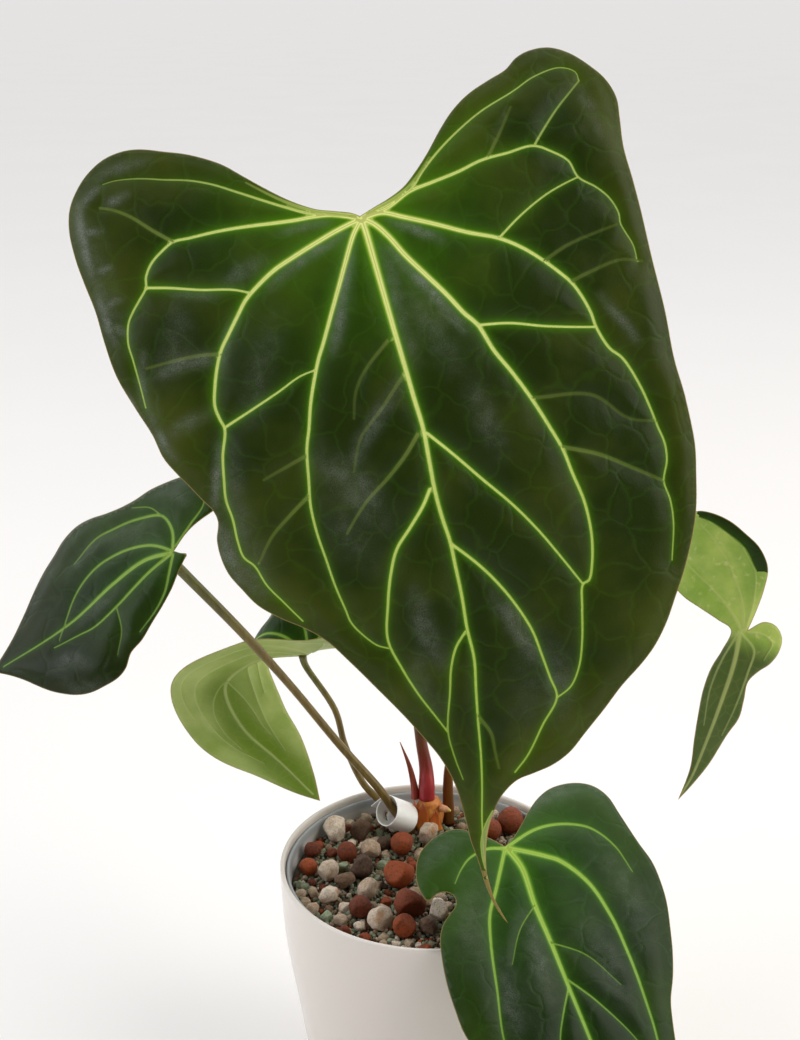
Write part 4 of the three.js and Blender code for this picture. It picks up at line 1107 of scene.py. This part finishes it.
# %% Stalk skin
def stalk_skin(name, foot_colour, middle_colour, top_colour, blush=0.2):
    def finish(tree):
        along = node(tree, "Attribute", out="Fac", attribute_name="along")
        spot = node(tree, "NewGeometry", out="Position")
        streak = node(tree, "VectorMath", {0: spot, 1: (420.0, 420.0, 30.0)}, operation="MULTIPLY")
        fibre = node(tree, "TexNoise", {"Vector": streak, "Scale": 1.0, "Detail": 3.0})
        cloud = node(tree, "TexNoise", {"Vector": spot, "Scale": 120.0, "Detail": 2.0})
        high = node(tree, "MapRange", {0: along, 1: 0.55, 2: 1.0}, **SMOOTH)
        body = node(tree, "Mix", {0: high, 6: linear(middle_colour), 7: linear(top_colour)}, 2, **COLOUR)
        low = node(tree, "MapRange", {0: along, 1: 0.0, 2: blush, 3: 1.0, 4: 0.0}, **SMOOTH)
        body = node(tree, "Mix", {0: low, 6: body, 7: linear(foot_colour)}, 2, **COLOUR)
        dark = node(tree, "MapRange", {0: fibre, 1: 0.35, 2: 0.7, 3: 0.72, 4: 1.15})
        body = node(tree, "Mix", {0: 1.0, 6: body, 7: dark}, 2, **DARKEN)
        rise = node(tree, "Math", {0: cloud, 1: 0.5, 2: fibre}, operation="MULTIPLY_ADD")
        return body, node(tree, "Bump", {"Height": rise, "Strength": 0.3, "Distance": 0.0003})

    return new_material(name, 0.36, 1.42, finish)


red_skin = stalk_skin("stalk_skin_wine_red", "#a32c33", "#5d3a1c", "#4e5224", blush=0.13)
brown_skin = stalk_skin("stalk_skin_brown_green", "#583c14", "#75602c", "#666630", blush=0.2)
rust_skin = stalk_skin("stalk_skin_rust", "#6a3e16", "#7a4a1c", "#57501f", blush=0.12)

# %% [markdown]
# Each route starts on the bed or on the rootstock and ends just behind its leaf, arriving square
# to the blade. The last stretch comes from the leaf itself: its place and the way it faces.

# %% Where the stalks stand
FOOT = BED_HEIGHT + 0.3
ROOTSTOCK = at_height([429, 828], BED_HEIGHT)
ROOTSTOCK_RADIUS = 7.8
ROOTSTOCK_HEIGHT = 18.0
CROWN_TOP = FOOT + ROOTSTOCK_HEIGHT
UP = np.array([0, 0, 1.0])
MAIN_FOOT = np.array([ROOTSTOCK[0] - 1.4, ROOTSTOCK[1], CROWN_TOP + 0.3])
LEFT_FOOT = np.array([-10.2, 42.6, FOOT])
RIGHT_FOOT = np.array([ROOTSTOCK[0] + 10.4, ROOTSTOCK[1] + 5.2, FOOT])
BACK_FOOT = np.array([-25, 59, FOOT])
FRONT_FOOT = np.array([21, 28, FOOT])


def stalk_end(place, seen, behind, gap=0.45):
    near = np.array([[0, 0], [0.5, 0], [-0.5, 0], [0, 0.5], [0, -0.5]]) + np.asarray(seen, float)
    spots = place(near)[0]
    out = unit(np.cross(spots[1] - spots[2], spots[3] - spots[4]))
    out = -out if out @ behind > 0 else out
    end = spots[0] - out * (0.4 + gap)
    return [end - out * 7, end]


# %% Build the stalks
STALKS = {
    "main_leaf_stalk": ([MAIN_FOOT, MAIN_FOOT + 8 * UP, at_depth([426, 768], 51), at_depth([421, 740], 51),
                         (-12, 53, 250), (-22, 50, 330), (-31, 42, 400), (-35, 30, 437),
                         *stalk_end(main_place, (363, 226), AHEAD)],
                        [4.35, 4.2, 3.2, 2.6, 2.4, 2.4, 2.9, 3.0], red_skin, "red_stalk"),
    "left_leaf_stalk": ([LEFT_FOOT, LEFT_FOOT + 3 * UP, (-12.6, 42.4, 136.4), (-17, 42, 141.5),
                         at_depth([380, 790], 42.6), at_depth([340, 745], 46), at_depth([290, 685], 40),
                         at_depth([240, 630], 32), *stalk_end(left_place, (168, 556), AHEAD)],
                        [3.4, 2.7, 2.4, 2.2, 2.1, 2.6, 2.9], brown_skin, "stalk"),
    "right_leaf_stalk": ([RIGHT_FOOT, RIGHT_FOOT + 8 * UP, at_depth([448, 785], 54), at_depth([450, 762], 53),
                          (30, 54, 230), (70, 60, 284), (116, 68, 303), (149, 74, 281),
                          *stalk_end(right_place, (738, 640), AHEAD)],
                         [3.4, 2.9, 2.4, 2.1, 2.1, 2.6, 2.9], rust_skin, "stalk"),
    "back_leaf_stalk": ([BACK_FOOT, BACK_FOOT + 8 * UP, at_depth([363, 783], 63), at_depth([345, 745], 72),
                         at_depth([335, 710], 78),
                         *stalk_end(back_place, (0, 5), np.array([0.3, -0.3, -1]), -0.3)],
                        [2.6, 2.0, 1.8, 1.7, 1.8, 2.3], brown_skin, "stalk"),
    "front_leaf_stalk": ([FRONT_FOOT, FRONT_FOOT + 7 * UP, (24, 12, 146), (31, -8, 152),
                          *stalk_end(front_place, (509, 855), AHEAD)],
                         [2.6, 2.2, 2.1, 2.4], brown_skin, "stalk"),
}
for stands_for, (route, radii, skin, slot) in STALKS.items():
    points, faces, facts = stalk_mesh(route, radii)
    piece("round_" + stands_for, points, faces, [skin], [stands_for], facts)
    print(stands_for, "leaves the bed and ends at", points[-1].round())

# %% [markdown]
# ## The rootstock
# The short upright stem is lumpy and ringed where old leaves have dropped off, orange-brown and
# fibrous, darker towards the bed. It is turned as a drum and then pushed in and out by waves
# round and up it.


# %% Rootstock
def noise3(points, size, seed):
    """Smooth lumps, from -1 to 1, about `size` mm across."""
    total = np.zeros(len(points))
    for k in range(6):
        way = unit([math.sin(seed + 2.4 * k), math.cos(1.7 * seed + 1.3 * k), math.sin(0.7 * seed - 1.9 * k)])
        total += np.sin(points @ way * 2 * math.pi / (size * (0.75 + 0.13 * k)) + seed * (k + 2))
    return total / 6


def bark_finish(tree):
    spot = node(tree, "NewGeometry", out="Position")
    stretched = node(tree, "VectorMath", {0: spot, 1: (500.0, 500.0, 140.0)}, operation="MULTIPLY")
    fibre = node(tree, "TexNoise", {"Vector": stretched, "Scale": 1.0, "Detail": 5.0, "Roughness": 0.65})
    cloud = node(tree, "TexNoise", {"Vector": spot, "Scale": 190.0, "Detail": 2.0})
    height = node(tree, "SeparateXYZ", {0: spot}, 2)
    body = node(tree, "Mix", {0: cloud, 6: linear("#b35c1e"), 7: linear("#e39d4c")}, 2, **COLOUR)
    low = node(tree, "MapRange", {0: height, 1: 0.129, 2: 0.138, 3: 1.0, 4: 0.0}, **SMOOTH)
    body = node(tree, "Mix", {0: low, 6: body, 7: linear("#6f3018")}, 2, **COLOUR)
    high = node(tree, "MapRange", {0: height, 1: 0.144, 2: 0.153}, **SMOOTH)
    body = node(tree, "Mix", {0: high, 6: body, 7: linear("#a83a28")}, 2, **COLOUR)
    dark = node(tree, "MapRange", {0: fibre, 1: 0.3, 2: 0.62, 3: 0.6, 4: 1.1})
    body = node(tree, "Mix", {0: 1.0, 6: body, 7: dark}, 2, **DARKEN)
    return body, node(tree, "Bump", {"Height": fibre, "Strength": 0.7, "Distance": 0.0006})


bark = new_material("rootstock_skin_orange", 0.5, 1.45, bark_finish)

profile = smooth([(0.1, FOOT), (5.6, FOOT + 0.2), (7.2, FOOT + 4), (7.6, FOOT + 8), (7.0, FOOT + 13),
                  (5.6, CROWN_TOP - 1.2), (4.4, CROWN_TOP), (0.1, CROWN_TOP)], 0.6)
points, faces = turned([(0, FOOT), *profile[1:-1], (0, CROWN_TOP)])
shape = points - np.array([0, 0, FOOT])
radial = unit(np.column_stack([points[:, 0] + 1e-6, points[:, 1], np.zeros(len(points))]))
lumps = 0.45 * noise3(shape, 7, 1.1) + 0.3 * noise3(shape * [1, 1, 2.2], 3.2, 2.5)
flatness = np.minimum(1, np.hypot(points[:, 0], points[:, 1]) / 5)
points = points + radial * (lumps * flatness)[:, None] + [ROOTSTOCK[0], ROOTSTOCK[1], 0]
piece("lumpy_rootstock", points, faces, [bark], ["rootstock"])
print("rootstock", round(2 * ROOTSTOCK_RADIUS, 1), "mm thick")

# %% [markdown]
# Old leaf bases leave papery scales round the crown. Each is a pointed sheet that hugs the
# rootstock and leans off it at its ragged tip. They are thin closed solids, like everything here.


# %% Papery scales
UP_STEPS, ROUND_IT_STEPS = 13, 9


def papery_scale(turn, half_width, low, height, lean):
    """A pointed sheet round the rootstock: turn and half_width in degrees, the rest in mm."""
    along, round_it = np.linspace(0, 1, UP_STEPS), np.linspace(-1, 1, ROUND_IT_STEPS)
    sheets = []
    for lift in (0.45, 0.0):
        for t in along:
            ragged = 1 + 0.16 * math.sin(9 * t + turn)
            angle = np.radians(turn + half_width * round_it * (1 - t**1.6) * ragged)
            reach = ROOTSTOCK_RADIUS + 0.35 + lift * (1 - 0.6 * t) - 1.6 * t + lean * t**2
            z = np.full(ROUND_IT_STEPS, FOOT + low + height * t) + 0.5 * np.sin(5 * round_it + 3 * t)
            sheets.append(np.column_stack([reach * np.cos(angle), reach * np.sin(angle), z]))
    points = np.vstack(sheets) + [ROOTSTOCK[0], ROOTSTOCK[1], 0]
    faces, back = [], UP_STEPS * ROUND_IT_STEPS
    for i in range(UP_STEPS - 1):
        for k in range(ROUND_IT_STEPS - 1):
            a, b = i * ROUND_IT_STEPS + k, (i + 1) * ROUND_IT_STEPS + k
            faces += [(a, a + 1, b + 1, b), (back + a, back + b, back + b + 1, back + a + 1)]
        for k, flip in ((0, 1), (ROUND_IT_STEPS - 1, -1)):
            a, b = i * ROUND_IT_STEPS + k, (i + 1) * ROUND_IT_STEPS + k
            faces.append((a, b, back + b, back + a)[::flip])
    for k in range(ROUND_IT_STEPS - 1):
        top = back - ROUND_IT_STEPS + k
        faces += [(k + 1, k, back + k, back + k + 1), (top, top + 1, back + top + 1, back + top)]
    return points, faces


papery = stalk_skin("papery_scale_orange", "#d98a3a", "#c9692a", "#b04a30", blush=0.4)
scale_points, scale_faces, scale_along = [], [], []
for turn, half_width, low, height, lean in [
    (-118, 40, 3, 15.5, 1.2), (-68, 34, 1.5, 13, 1.8), (-160, 36, 2, 17.5, 2.2), (70, 40, 2, 15, 1.6),
]:
    points, faces = papery_scale(turn, half_width, low, height, lean)
    scale_faces += [tuple(v + len(scale_points) for v in f) for f in faces]
    scale_points += points.tolist()
    scale_along += list(np.tile(np.repeat(np.linspace(0, 1, UP_STEPS), ROUND_IT_STEPS), 2))
piece("papery_scales", scale_points, scale_faces, [papery], [], {"along": scale_along})
print("4 papery scales,", len(scale_faces), "faces")

# %% [markdown]
# A dry pointed sheath, what is left of the wrapping of the last leaf, stands beside the thick
# stalk, and a short aerial root with a pale tip grows out of the rootstock.

# %% Sheath and aerial root
sheath_foot = np.array([MAIN_FOOT[0] - 6.1, ROOTSTOCK[1], CROWN_TOP + 0.3])
sheath_skin = stalk_skin("dry_sheath_red", "#8f2f26", "#8a3f2a", "#9a5a3a", blush=0.5)
points, faces, facts = stalk_mesh(
    [sheath_foot, sheath_foot + 3 * UP, at_depth([410, 768], ROOTSTOCK[1]),
     at_depth([400, 742], ROOTSTOCK[1])],
    [2.4, 2.1, 1.3, 0.2], 16, 0.8)
piece("pointed_dry_sheath", points, faces, [sheath_skin], ["dry_sheath"], facts)

root_turn = math.radians(-32)
way = np.array([math.cos(root_turn), math.sin(root_turn), 0])
seat = np.array([ROOTSTOCK[0], ROOTSTOCK[1], FOOT + 0.8 * ROOTSTOCK_HEIGHT]) + way * (ROOTSTOCK_RADIUS - 0.6)
root_skin = stalk_skin("aerial_root_skin", "#c98058", "#d89a72", "#e3c24a", blush=0.5)
points, faces, facts = stalk_mesh(
    [seat, seat + way * 2.9, seat + way * 4.9 + [1, 0, -0.4]], [2.0, 1.8, 0.5], 20, 0.35, 0.015)
piece("short_aerial_root", points, faces, [root_skin], ["aerial_root"], facts)

# %% [markdown]
# ## The plant tag
# A loop tag is punched from white polypropylene sheet 0.6 mm thick. It is bent once round the
# left stalk, and it is blank. Its line is an oval that runs out straight, given as seen along the
# loop's axis, and the strip is 14 mm wide along that axis. A slot is punched through it for the
# tail.

# %% Plant tag
TAG_THICK = 0.6
TAG_AXIS = unit([-0.76, -0.37, 0.54])
TAG_MIDDLE = np.array([-17, 42.5, 140])


def sheet_finish(tree):
    spot = node(tree, "NewGeometry", out="Position")
    haze = node(tree, "TexNoise", {"Vector": spot, "Scale": 300.0, "Detail": 3.0})
    body = node(tree, "Mix", {0: haze, 6: linear("#efeeec"), 7: linear("#f8f8f7")}, 2, **COLOUR)
    return body, node(tree, "Bump", {"Height": haze, "Strength": 0.2, "Distance": 0.0001})


tag_plastic = new_material("white_polypropylene_sheet", 0.4, 1.49, sheet_finish)
share = np.linspace(0, 1, 110)
turn = np.radians(-20 + 355 * share)
oval = np.column_stack([10.5 * np.cos(turn), 8 * np.sin(turn)]) / (1 + 0.22 * (1 - share) ** 2)[:, None]
straight = unit(oval[-1] - oval[-2])
line = np.vstack([oval, [oval[-1] + straight * s for s in np.linspace(0.5, 8, 14)]])
sideways = unit(np.gradient(line, axis=0))[:, ::-1] * [-1, 1]
deep = unit(AHEAD - (AHEAD @ TAG_AXIS) * TAG_AXIS)
wide = np.cross(TAG_AXIS, deep)
rows = np.array([-7.0, -6.9, -6.6, -5, -3.6, -3.5, -1, 1, 3.5, 3.6, 5, 6.6, 6.9, 7.0])
thin = np.array([0.4, 0.8, 1, 1, 1, 1, 1, 1, 1, 1, 1, 1, 0.8, 0.4])
slot_span = range(11, 24)
slot_rows = range(6, 7)
points, faces = [], []
for side in (1, -1):
    for i, p in enumerate(line):
        for w, t in zip(rows, thin):
            q = p + sideways[i] * side * TAG_THICK / 2 * t
            points.append(TAG_MIDDLE + deep * q[0] + wide * q[1] + TAG_AXIS * w)
across = len(rows)
sheet = len(line) * across
kept = [
    (i, j) for i in range(len(line) - 1) for j in range(across - 1)
    if not (i in slot_span and j in slot_rows)
]
for i, j in kept:
    a, b = i * across + j, (i + 1) * across + j
    faces += [(a, b, b + 1, a + 1), (sheet + a, sheet + a + 1, sheet + b + 1, sheet + b)]
borders = {}
for f in faces[::2]:
    for a, b in zip(f, f[1:] + f[:1]):
        borders[(a, b)] = True
faces += [(b, a, a + sheet, b + sheet) for a, b in borders if (b, a) not in borders]
piece("blank_plant_tag", points, faces, [tag_plastic], ["plant_tag"])
print("tag strip", round(np.linalg.norm(np.diff(line, axis=0), axis=1).sum()), "mm long")

# %% [markdown]
# ## The growing mix
# The plant stands in a coarse mineral mix: fired clay balls, pale pumice, dark lava and small
# green-grey zeolite. The larger stones stand where the model has them. A broken stone is a ball
# whose surface is pushed in by a few flat cuts and roughened, and a clay ball is rounder with a
# few dents.


# %% Shape a stone
def ball(detail):
    mesh = bpy.data.meshes.new("ball")
    shape = bmesh.new()
    bmesh.ops.create_icosphere(shape, subdivisions=detail, radius=1.0)
    shape.to_mesh(mesh)
    shape.free()
    points = np.array([v.co[:] for v in mesh.vertices])
    faces = np.array([p.vertices[:] for p in mesh.polygons])
    bpy.data.meshes.remove(mesh)
    return points, faces


BALLS = {detail: ball(detail) for detail in (1, 2, 3, 4)}


def stone(detail, size, seed, cuts, rough, squash=(1, 1, 1)):
    """Points of one stone `size` mm across. More cuts make it more angular."""
    luck = np.random.default_rng(seed)
    points = BALLS[detail][0].copy()
    for _ in range(cuts):
        way = unit(luck.normal(size=3))
        reach = luck.uniform(0.55, 0.88)
        over = points @ way - reach
        points -= np.outer(np.maximum(over, 0) * 0.92, way)
    way = unit(points)
    points += way * (rough * noise3(points * 10, 9, seed * 0.37))[:, None]
    points += way * (0.4 * rough * noise3(points * 10, 3.4, seed * 0.61))[:, None]
    turn = luck.uniform(0, 2 * math.pi)
    spin = np.array([[math.cos(turn), -math.sin(turn), 0], [math.sin(turn), math.cos(turn), 0], [0, 0, 1]])
    return (points * squash) @ spin.T * size / 2


# %% [markdown]
# Clay balls are red-brown with a burnt skin, pitted where grit broke away. Pumice is full of small bubbles,
# pale with rusty stains. Lava is dark and dull. The pits are painted darker, as painted shade in the hollows.
# Each stone gets its own shade from a value stored with its points.


# %% Stone finishes
def stone_skin(name, dark, light, stain, pit_size, pit_depth, roughness=0.85, stain_share=0.25):
    def finish(tree):
        spot = node(tree, "NewGeometry", out="Position")
        shade = node(tree, "Attribute", out="Fac", attribute_name="shade")
        grain = node(tree, "TexNoise", {"Vector": spot, "Scale": 700.0, "Detail": 5.0, "Roughness": 0.6})
        cloud = node(tree, "TexNoise", {"Vector": spot, "Scale": 170.0, "Detail": 3.0})
        pits = node(tree, "TexVoronoi", {"Vector": spot, "Scale": 1000.0 / pit_size}, "Distance")
        share = node(tree, "Math", {0: shade, 1: 0.65, 2: grain}, operation="MULTIPLY_ADD")
        share = node(tree, "MapRange", {0: share, 1: 0.35, 2: 1.15})
        body = node(tree, "Mix", {0: share, 6: linear(dark), 7: linear(light)}, 2, **COLOUR)
        stained = node(tree, "MapRange", {0: cloud, 1: 0.62 - stain_share * 0.3, 2: 0.72, 3: 0.0, 4: 0.8})
        body = node(tree, "Mix", {0: stained, 6: body, 7: linear(stain)}, 2, **COLOUR)
        # painted shade: the pits are darkened, and the same values set the bump's height
        pit_shade_and_depth = node(tree, "MapRange", {0: pits, 1: 0.12, 2: 0.4, 3: 0.55, 4: 1.0})
        body = node(tree, "Mix", {0: 1.0, 6: body, 7: pit_shade_and_depth}, 2, **DARKEN)
        rise = node(tree, "Math", {0: grain, 1: 0.8, 2: pit_shade_and_depth}, operation="MULTIPLY_ADD")
        return body, node(tree, "Bump", {"Height": rise, "Strength": 0.8, "Distance": pit_depth * MM})

    return new_material(name, roughness, 1.5, finish)


fired_clay = stone_skin("fired_clay_red_brown", "#471702", "#96400a", "#5a270c", 1.5, 0.35, 0.75)
pumice_skin = stone_skin("pumice_pale", "#9c8066", "#dccbb8", "#a8764a", 0.8, 0.5, stain_share=0.15)
lava_skin = stone_skin("lava_dark_brown", "#3a2414", "#755a44", "#4c3020", 1.0, 0.5)
zeolite_skin = stone_skin("zeolite_green_grey", "#565c48", "#96a084", "#8a7650", 0.9, 0.3)
tan_skin = stone_skin("pumice_tan", "#7d6650", "#b39c82", "#86603c", 0.9, 0.4)

# %% [markdown]
# The larger stones replace the model's own, one for one: the box of each plain stone gives its
# middle and its size.

# %% Larger stones
larger = []
for number, name in enumerate(sorted(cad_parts)):
    kind = name.rsplit("_", 1)[0]
    if kind not in ("clay_ball", "pumice", "lava_stone"):
        continue
    low, high = (np.array(corner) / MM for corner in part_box(name))
    size = float((high - low)[:2].mean())
    middle = (low + high) / 2
    looks = {"clay_ball": (fired_clay, "clay", 2, 0.035), "pumice": (pumice_skin, "pumice", 9, 0.06),
             "lava_stone": (lava_skin, "lava", 7, 0.05)}[kind]
    shape = stone(4, size * 1.06, number + 3, looks[2], looks[3])
    shape += [middle[0], middle[1], low[2] + 0.05 - shape[:, 2].min()]
    facts = {"shade": np.full(len(shape), (number * 0.37) % 1)}
    piece("broken_" + name, shape, BALLS[4][1], [looks[0]], [name], facts)
    larger.append((middle[0], middle[1], size / 2))
print(len(larger), "larger stones")

# %% [markdown]
# Between them lie smaller stones of 4 to 9 mm and a fill of grains of 2 to 4 mm, all over the bed. They are
# dropped one after another from the largest down, each where it still finds room, with a fixed seed so that
# the bed is the same every time. The fill is half sunk into a bumpy sheet that closes the bed. That sheet is
# painted a mottled near-black brown, as painted shade in the gaps between the stones.

# %% Fill the bed
BED_RADIUS = float(liner_radius(BED_HEIGHT)) - LINER_WALL - 0.4
posts = [
    (*ROOTSTOCK[:2], 8.0), (*LEFT_FOOT[:2], 3.4), (*RIGHT_FOOT[:2], 3.6), (*BACK_FOOT[:2], 2.6),
    (*FRONT_FOOT[:2], 2.8),
]
luck = np.random.default_rng(11)


def drop(count, sizes, taken, overlap):
    """Places for stones on the bed: (x, y, radius), each clear of what is taken."""
    found = []
    spots = np.array(taken)
    for _ in range(count):
        radius = luck.uniform(*sizes) / 2
        reach = (BED_RADIUS - radius) * math.sqrt(luck.uniform())
        turn = luck.uniform(0, 2 * math.pi)
        x, y = reach * math.cos(turn), reach * math.sin(turn)
        room = (spots[:, 2] + radius) * overlap
        if np.any(np.hypot(spots[:, 0] - x, spots[:, 1] - y) < room):
            continue
        found.append((x, y, radius))
        spots = np.vstack([spots, (x, y, radius)])
    return found


middling = drop(1500, (6.0, 9.0), larger + posts, 0.98)
middling += drop(2500, (4.0, 6.0), larger + posts + middling, 0.95)
fill = drop(9000, (1.8, 3.8), posts, 0.62)
print(len(middling), "smaller stones,", len(fill), "grains")

# %% Build the smaller stones and the fill, by finish
KINDS = [
    ("clay_pieces", fired_clay, "clay", 3, 0.04), ("pumice_pieces", pumice_skin, "pumice", 9, 0.06),
    ("tan_pieces", tan_skin, "pumice", 8, 0.06), ("lava_pieces", lava_skin, "lava", 8, 0.06),
    ("zeolite_pieces", zeolite_skin, "mix", 10, 0.05),
]


def heap(name, skin, stones, detail, cuts, rough, sink):
    points, faces, shade = [], [], []
    count = 0
    for x, y, radius in stones:
        seed = int(abs(x * 131 + y * 977) * 10) + 1
        shape = stone(detail, 2.1 * radius, seed, cuts, rough, (1, 0.85, 0.8))
        base = BED_HEIGHT - sink * radius
        shape = shape + [x, y, base - shape[:, 2].min()]
        points.append(shape)
        faces.append(BALLS[detail][1] + count)
        shade.append(np.full(len(shape), (seed % 97) / 97))
        count += len(shape)
    piece(name, np.vstack(points), np.vstack(faces), [skin], [], {"shade": np.concatenate(shade)})
    print(name, len(stones), "stones")


def share_out(stones, weights):
    """Deals stones to finishes, each finish getting its share."""
    deal = luck.choice(len(weights), size=len(stones), p=np.array(weights) / sum(weights))
    return [[s for s, d in zip(stones, deal) if d == k] for k in range(len(weights))]


for (name, skin, slot, cuts, rough), stones in zip(KINDS, share_out(middling, [3, 3.2, 3.4, 1.6, 3.6])):
    heap("small_" + name, skin, stones, 3, cuts, rough, 0.25)
for (name, skin, slot, cuts, rough), stones in zip(KINDS, share_out(fill, [0.8, 1.4, 2.2, 1.8, 5])):
    heap("fine_" + name, skin, stones, 2, 5, rough, 0.5)

# %% The bed under the fill
def bed_shade_finish(tree):
    spot = node(tree, "NewGeometry", out="Position")
    grain = node(tree, "TexNoise", {"Vector": spot, "Scale": 600.0, "Detail": 5.0})
    # painted shade: the gaps between the stones are painted near-black brown
    body = node(tree, "Mix", {0: grain, 6: linear("#1c1712"), 7: linear("#57503f")}, 2, **COLOUR)
    return body, node(tree, "Bump", {"Height": grain, "Strength": 1.0, "Distance": 0.001})


bed_shade = new_material("bed_gaps_painted_shade", 0.95, 1.5, bed_shade_finish)
LOWEST = LINER_FLOOR + LINER_WALL + 0.3
bed_side = [(liner_radius(z) - LINER_WALL - 0.3, z) for z in (8, 30, 55, 80, 105, 120, BED_HEIGHT - 0.6)]
bed_top = [(r, BED_HEIGHT) for r in np.linspace(float(liner_radius(BED_HEIGHT)) - LINER_WALL - 0.6, 1, 40)]
points, faces = turned([(0, LOWEST), (43.5, LOWEST), *bed_side, *bed_top, (0, BED_HEIGHT)])
on_top = points[:, 2] > BED_HEIGHT - 0.1
points[on_top, 2] += 0.5 * noise3(points[on_top] * [1, 1, 0], 6, 4.2) - 0.6
piece("mineral_bed", points, faces, [bed_shade], ["growing_mix"])

# %% [markdown]
# ## Studio
# The plant stands on a plain pale floor in soft daylight. Two large soft lights stand well out to
# the right and the left, so that a flat leaf stays dark and deep, and only its slopes and folds
# shine. A surround stands for the room, white behind the plant and slowly dimmer towards the
# front, where a bright room would mirror in the leaves.

# %% Floor, lights and surround
def floor_finish(tree):
    spot = node(tree, "NewGeometry", out="Position")
    cloud = node(tree, "TexNoise", {"Vector": spot, "Scale": 3.0, "Detail": 2.0})
    body = node(tree, "Mix", {0: cloud, 6: linear("#e7e4e1"), 7: linear("#ebe8e5")}, 2, **COLOUR)
    return body, node(tree, "Bump", {"Height": cloud, "Strength": 0.1, "Distance": 0.0005})


floor_paint = new_material("pale_matt_floor", 0.9, 1.45, floor_finish)
floor_mesh = bpy.data.meshes.new("studio_floor")
floor_mesh.from_pydata([(-60, -60, 0), (60, -60, 0), (60, 60, 0), (-60, 60, 0)], [], [(0, 1, 2, 3)])
floor_mesh.materials.append(floor_paint)
floor = bpy.data.objects.new("studio_floor", floor_mesh)
bpy.context.scene.collection.objects.link(floor)


def soft_light(name, power, size, place, target, colour):
    data = bpy.data.lights.new(name, "AREA")
    data.shape = "DISK"
    data.size = size
    data.energy = power
    data.color = linear(colour)[:3]
    made = bpy.data.objects.new(name, data)
    aim = unit(np.subtract(place, target))
    sidewards = unit(np.cross([0, 0, 1], aim))
    turn = np.eye(4)
    turn[:3, :3] = np.column_stack([sidewards, np.cross(aim, sidewards), aim])
    turn[:3, 3] = place
    made.matrix_world = Matrix(turn.tolist())
    bpy.context.scene.collection.objects.link(made)


soft_light("window_right", 33, 2.2, (1.8, -0.7, 1.5), (0, 0, 0.3), "#fffaf2")
soft_light("window_left", 17, 1.8, (-1.8, -0.7, 1.2), (0, 0, 0.3), "#f4f8ff")

surround = bpy.data.worlds.new("daylight_room")
bpy.context.scene.world = surround
surround.use_nodes = True
tree = surround.node_tree
tree.nodes.clear()
way = node(tree, "TexCoord", out="Generated")
front = node(tree, "VectorMath", {0: way, 1: (0.0, -0.94, 0.34)}, "Value", operation="DOT_PRODUCT")
share = node(tree, "MapRange", {0: front, 1: 0.2, 2: 0.85}, **SMOOTH)
light = node(tree, "Mix", {0: share, 6: linear("#fafbfd"), 7: linear("#3c3d3f")}, 2, **COLOUR)
sky = node(tree, "Background", {"Color": light, "Strength": 1.38})
node(tree, "OutputWorld", {"Surface": sky}, None)
bpy.context.scene.view_settings.view_transform = "Standard"

# %% Finish
bpy.context.view_layer.update()
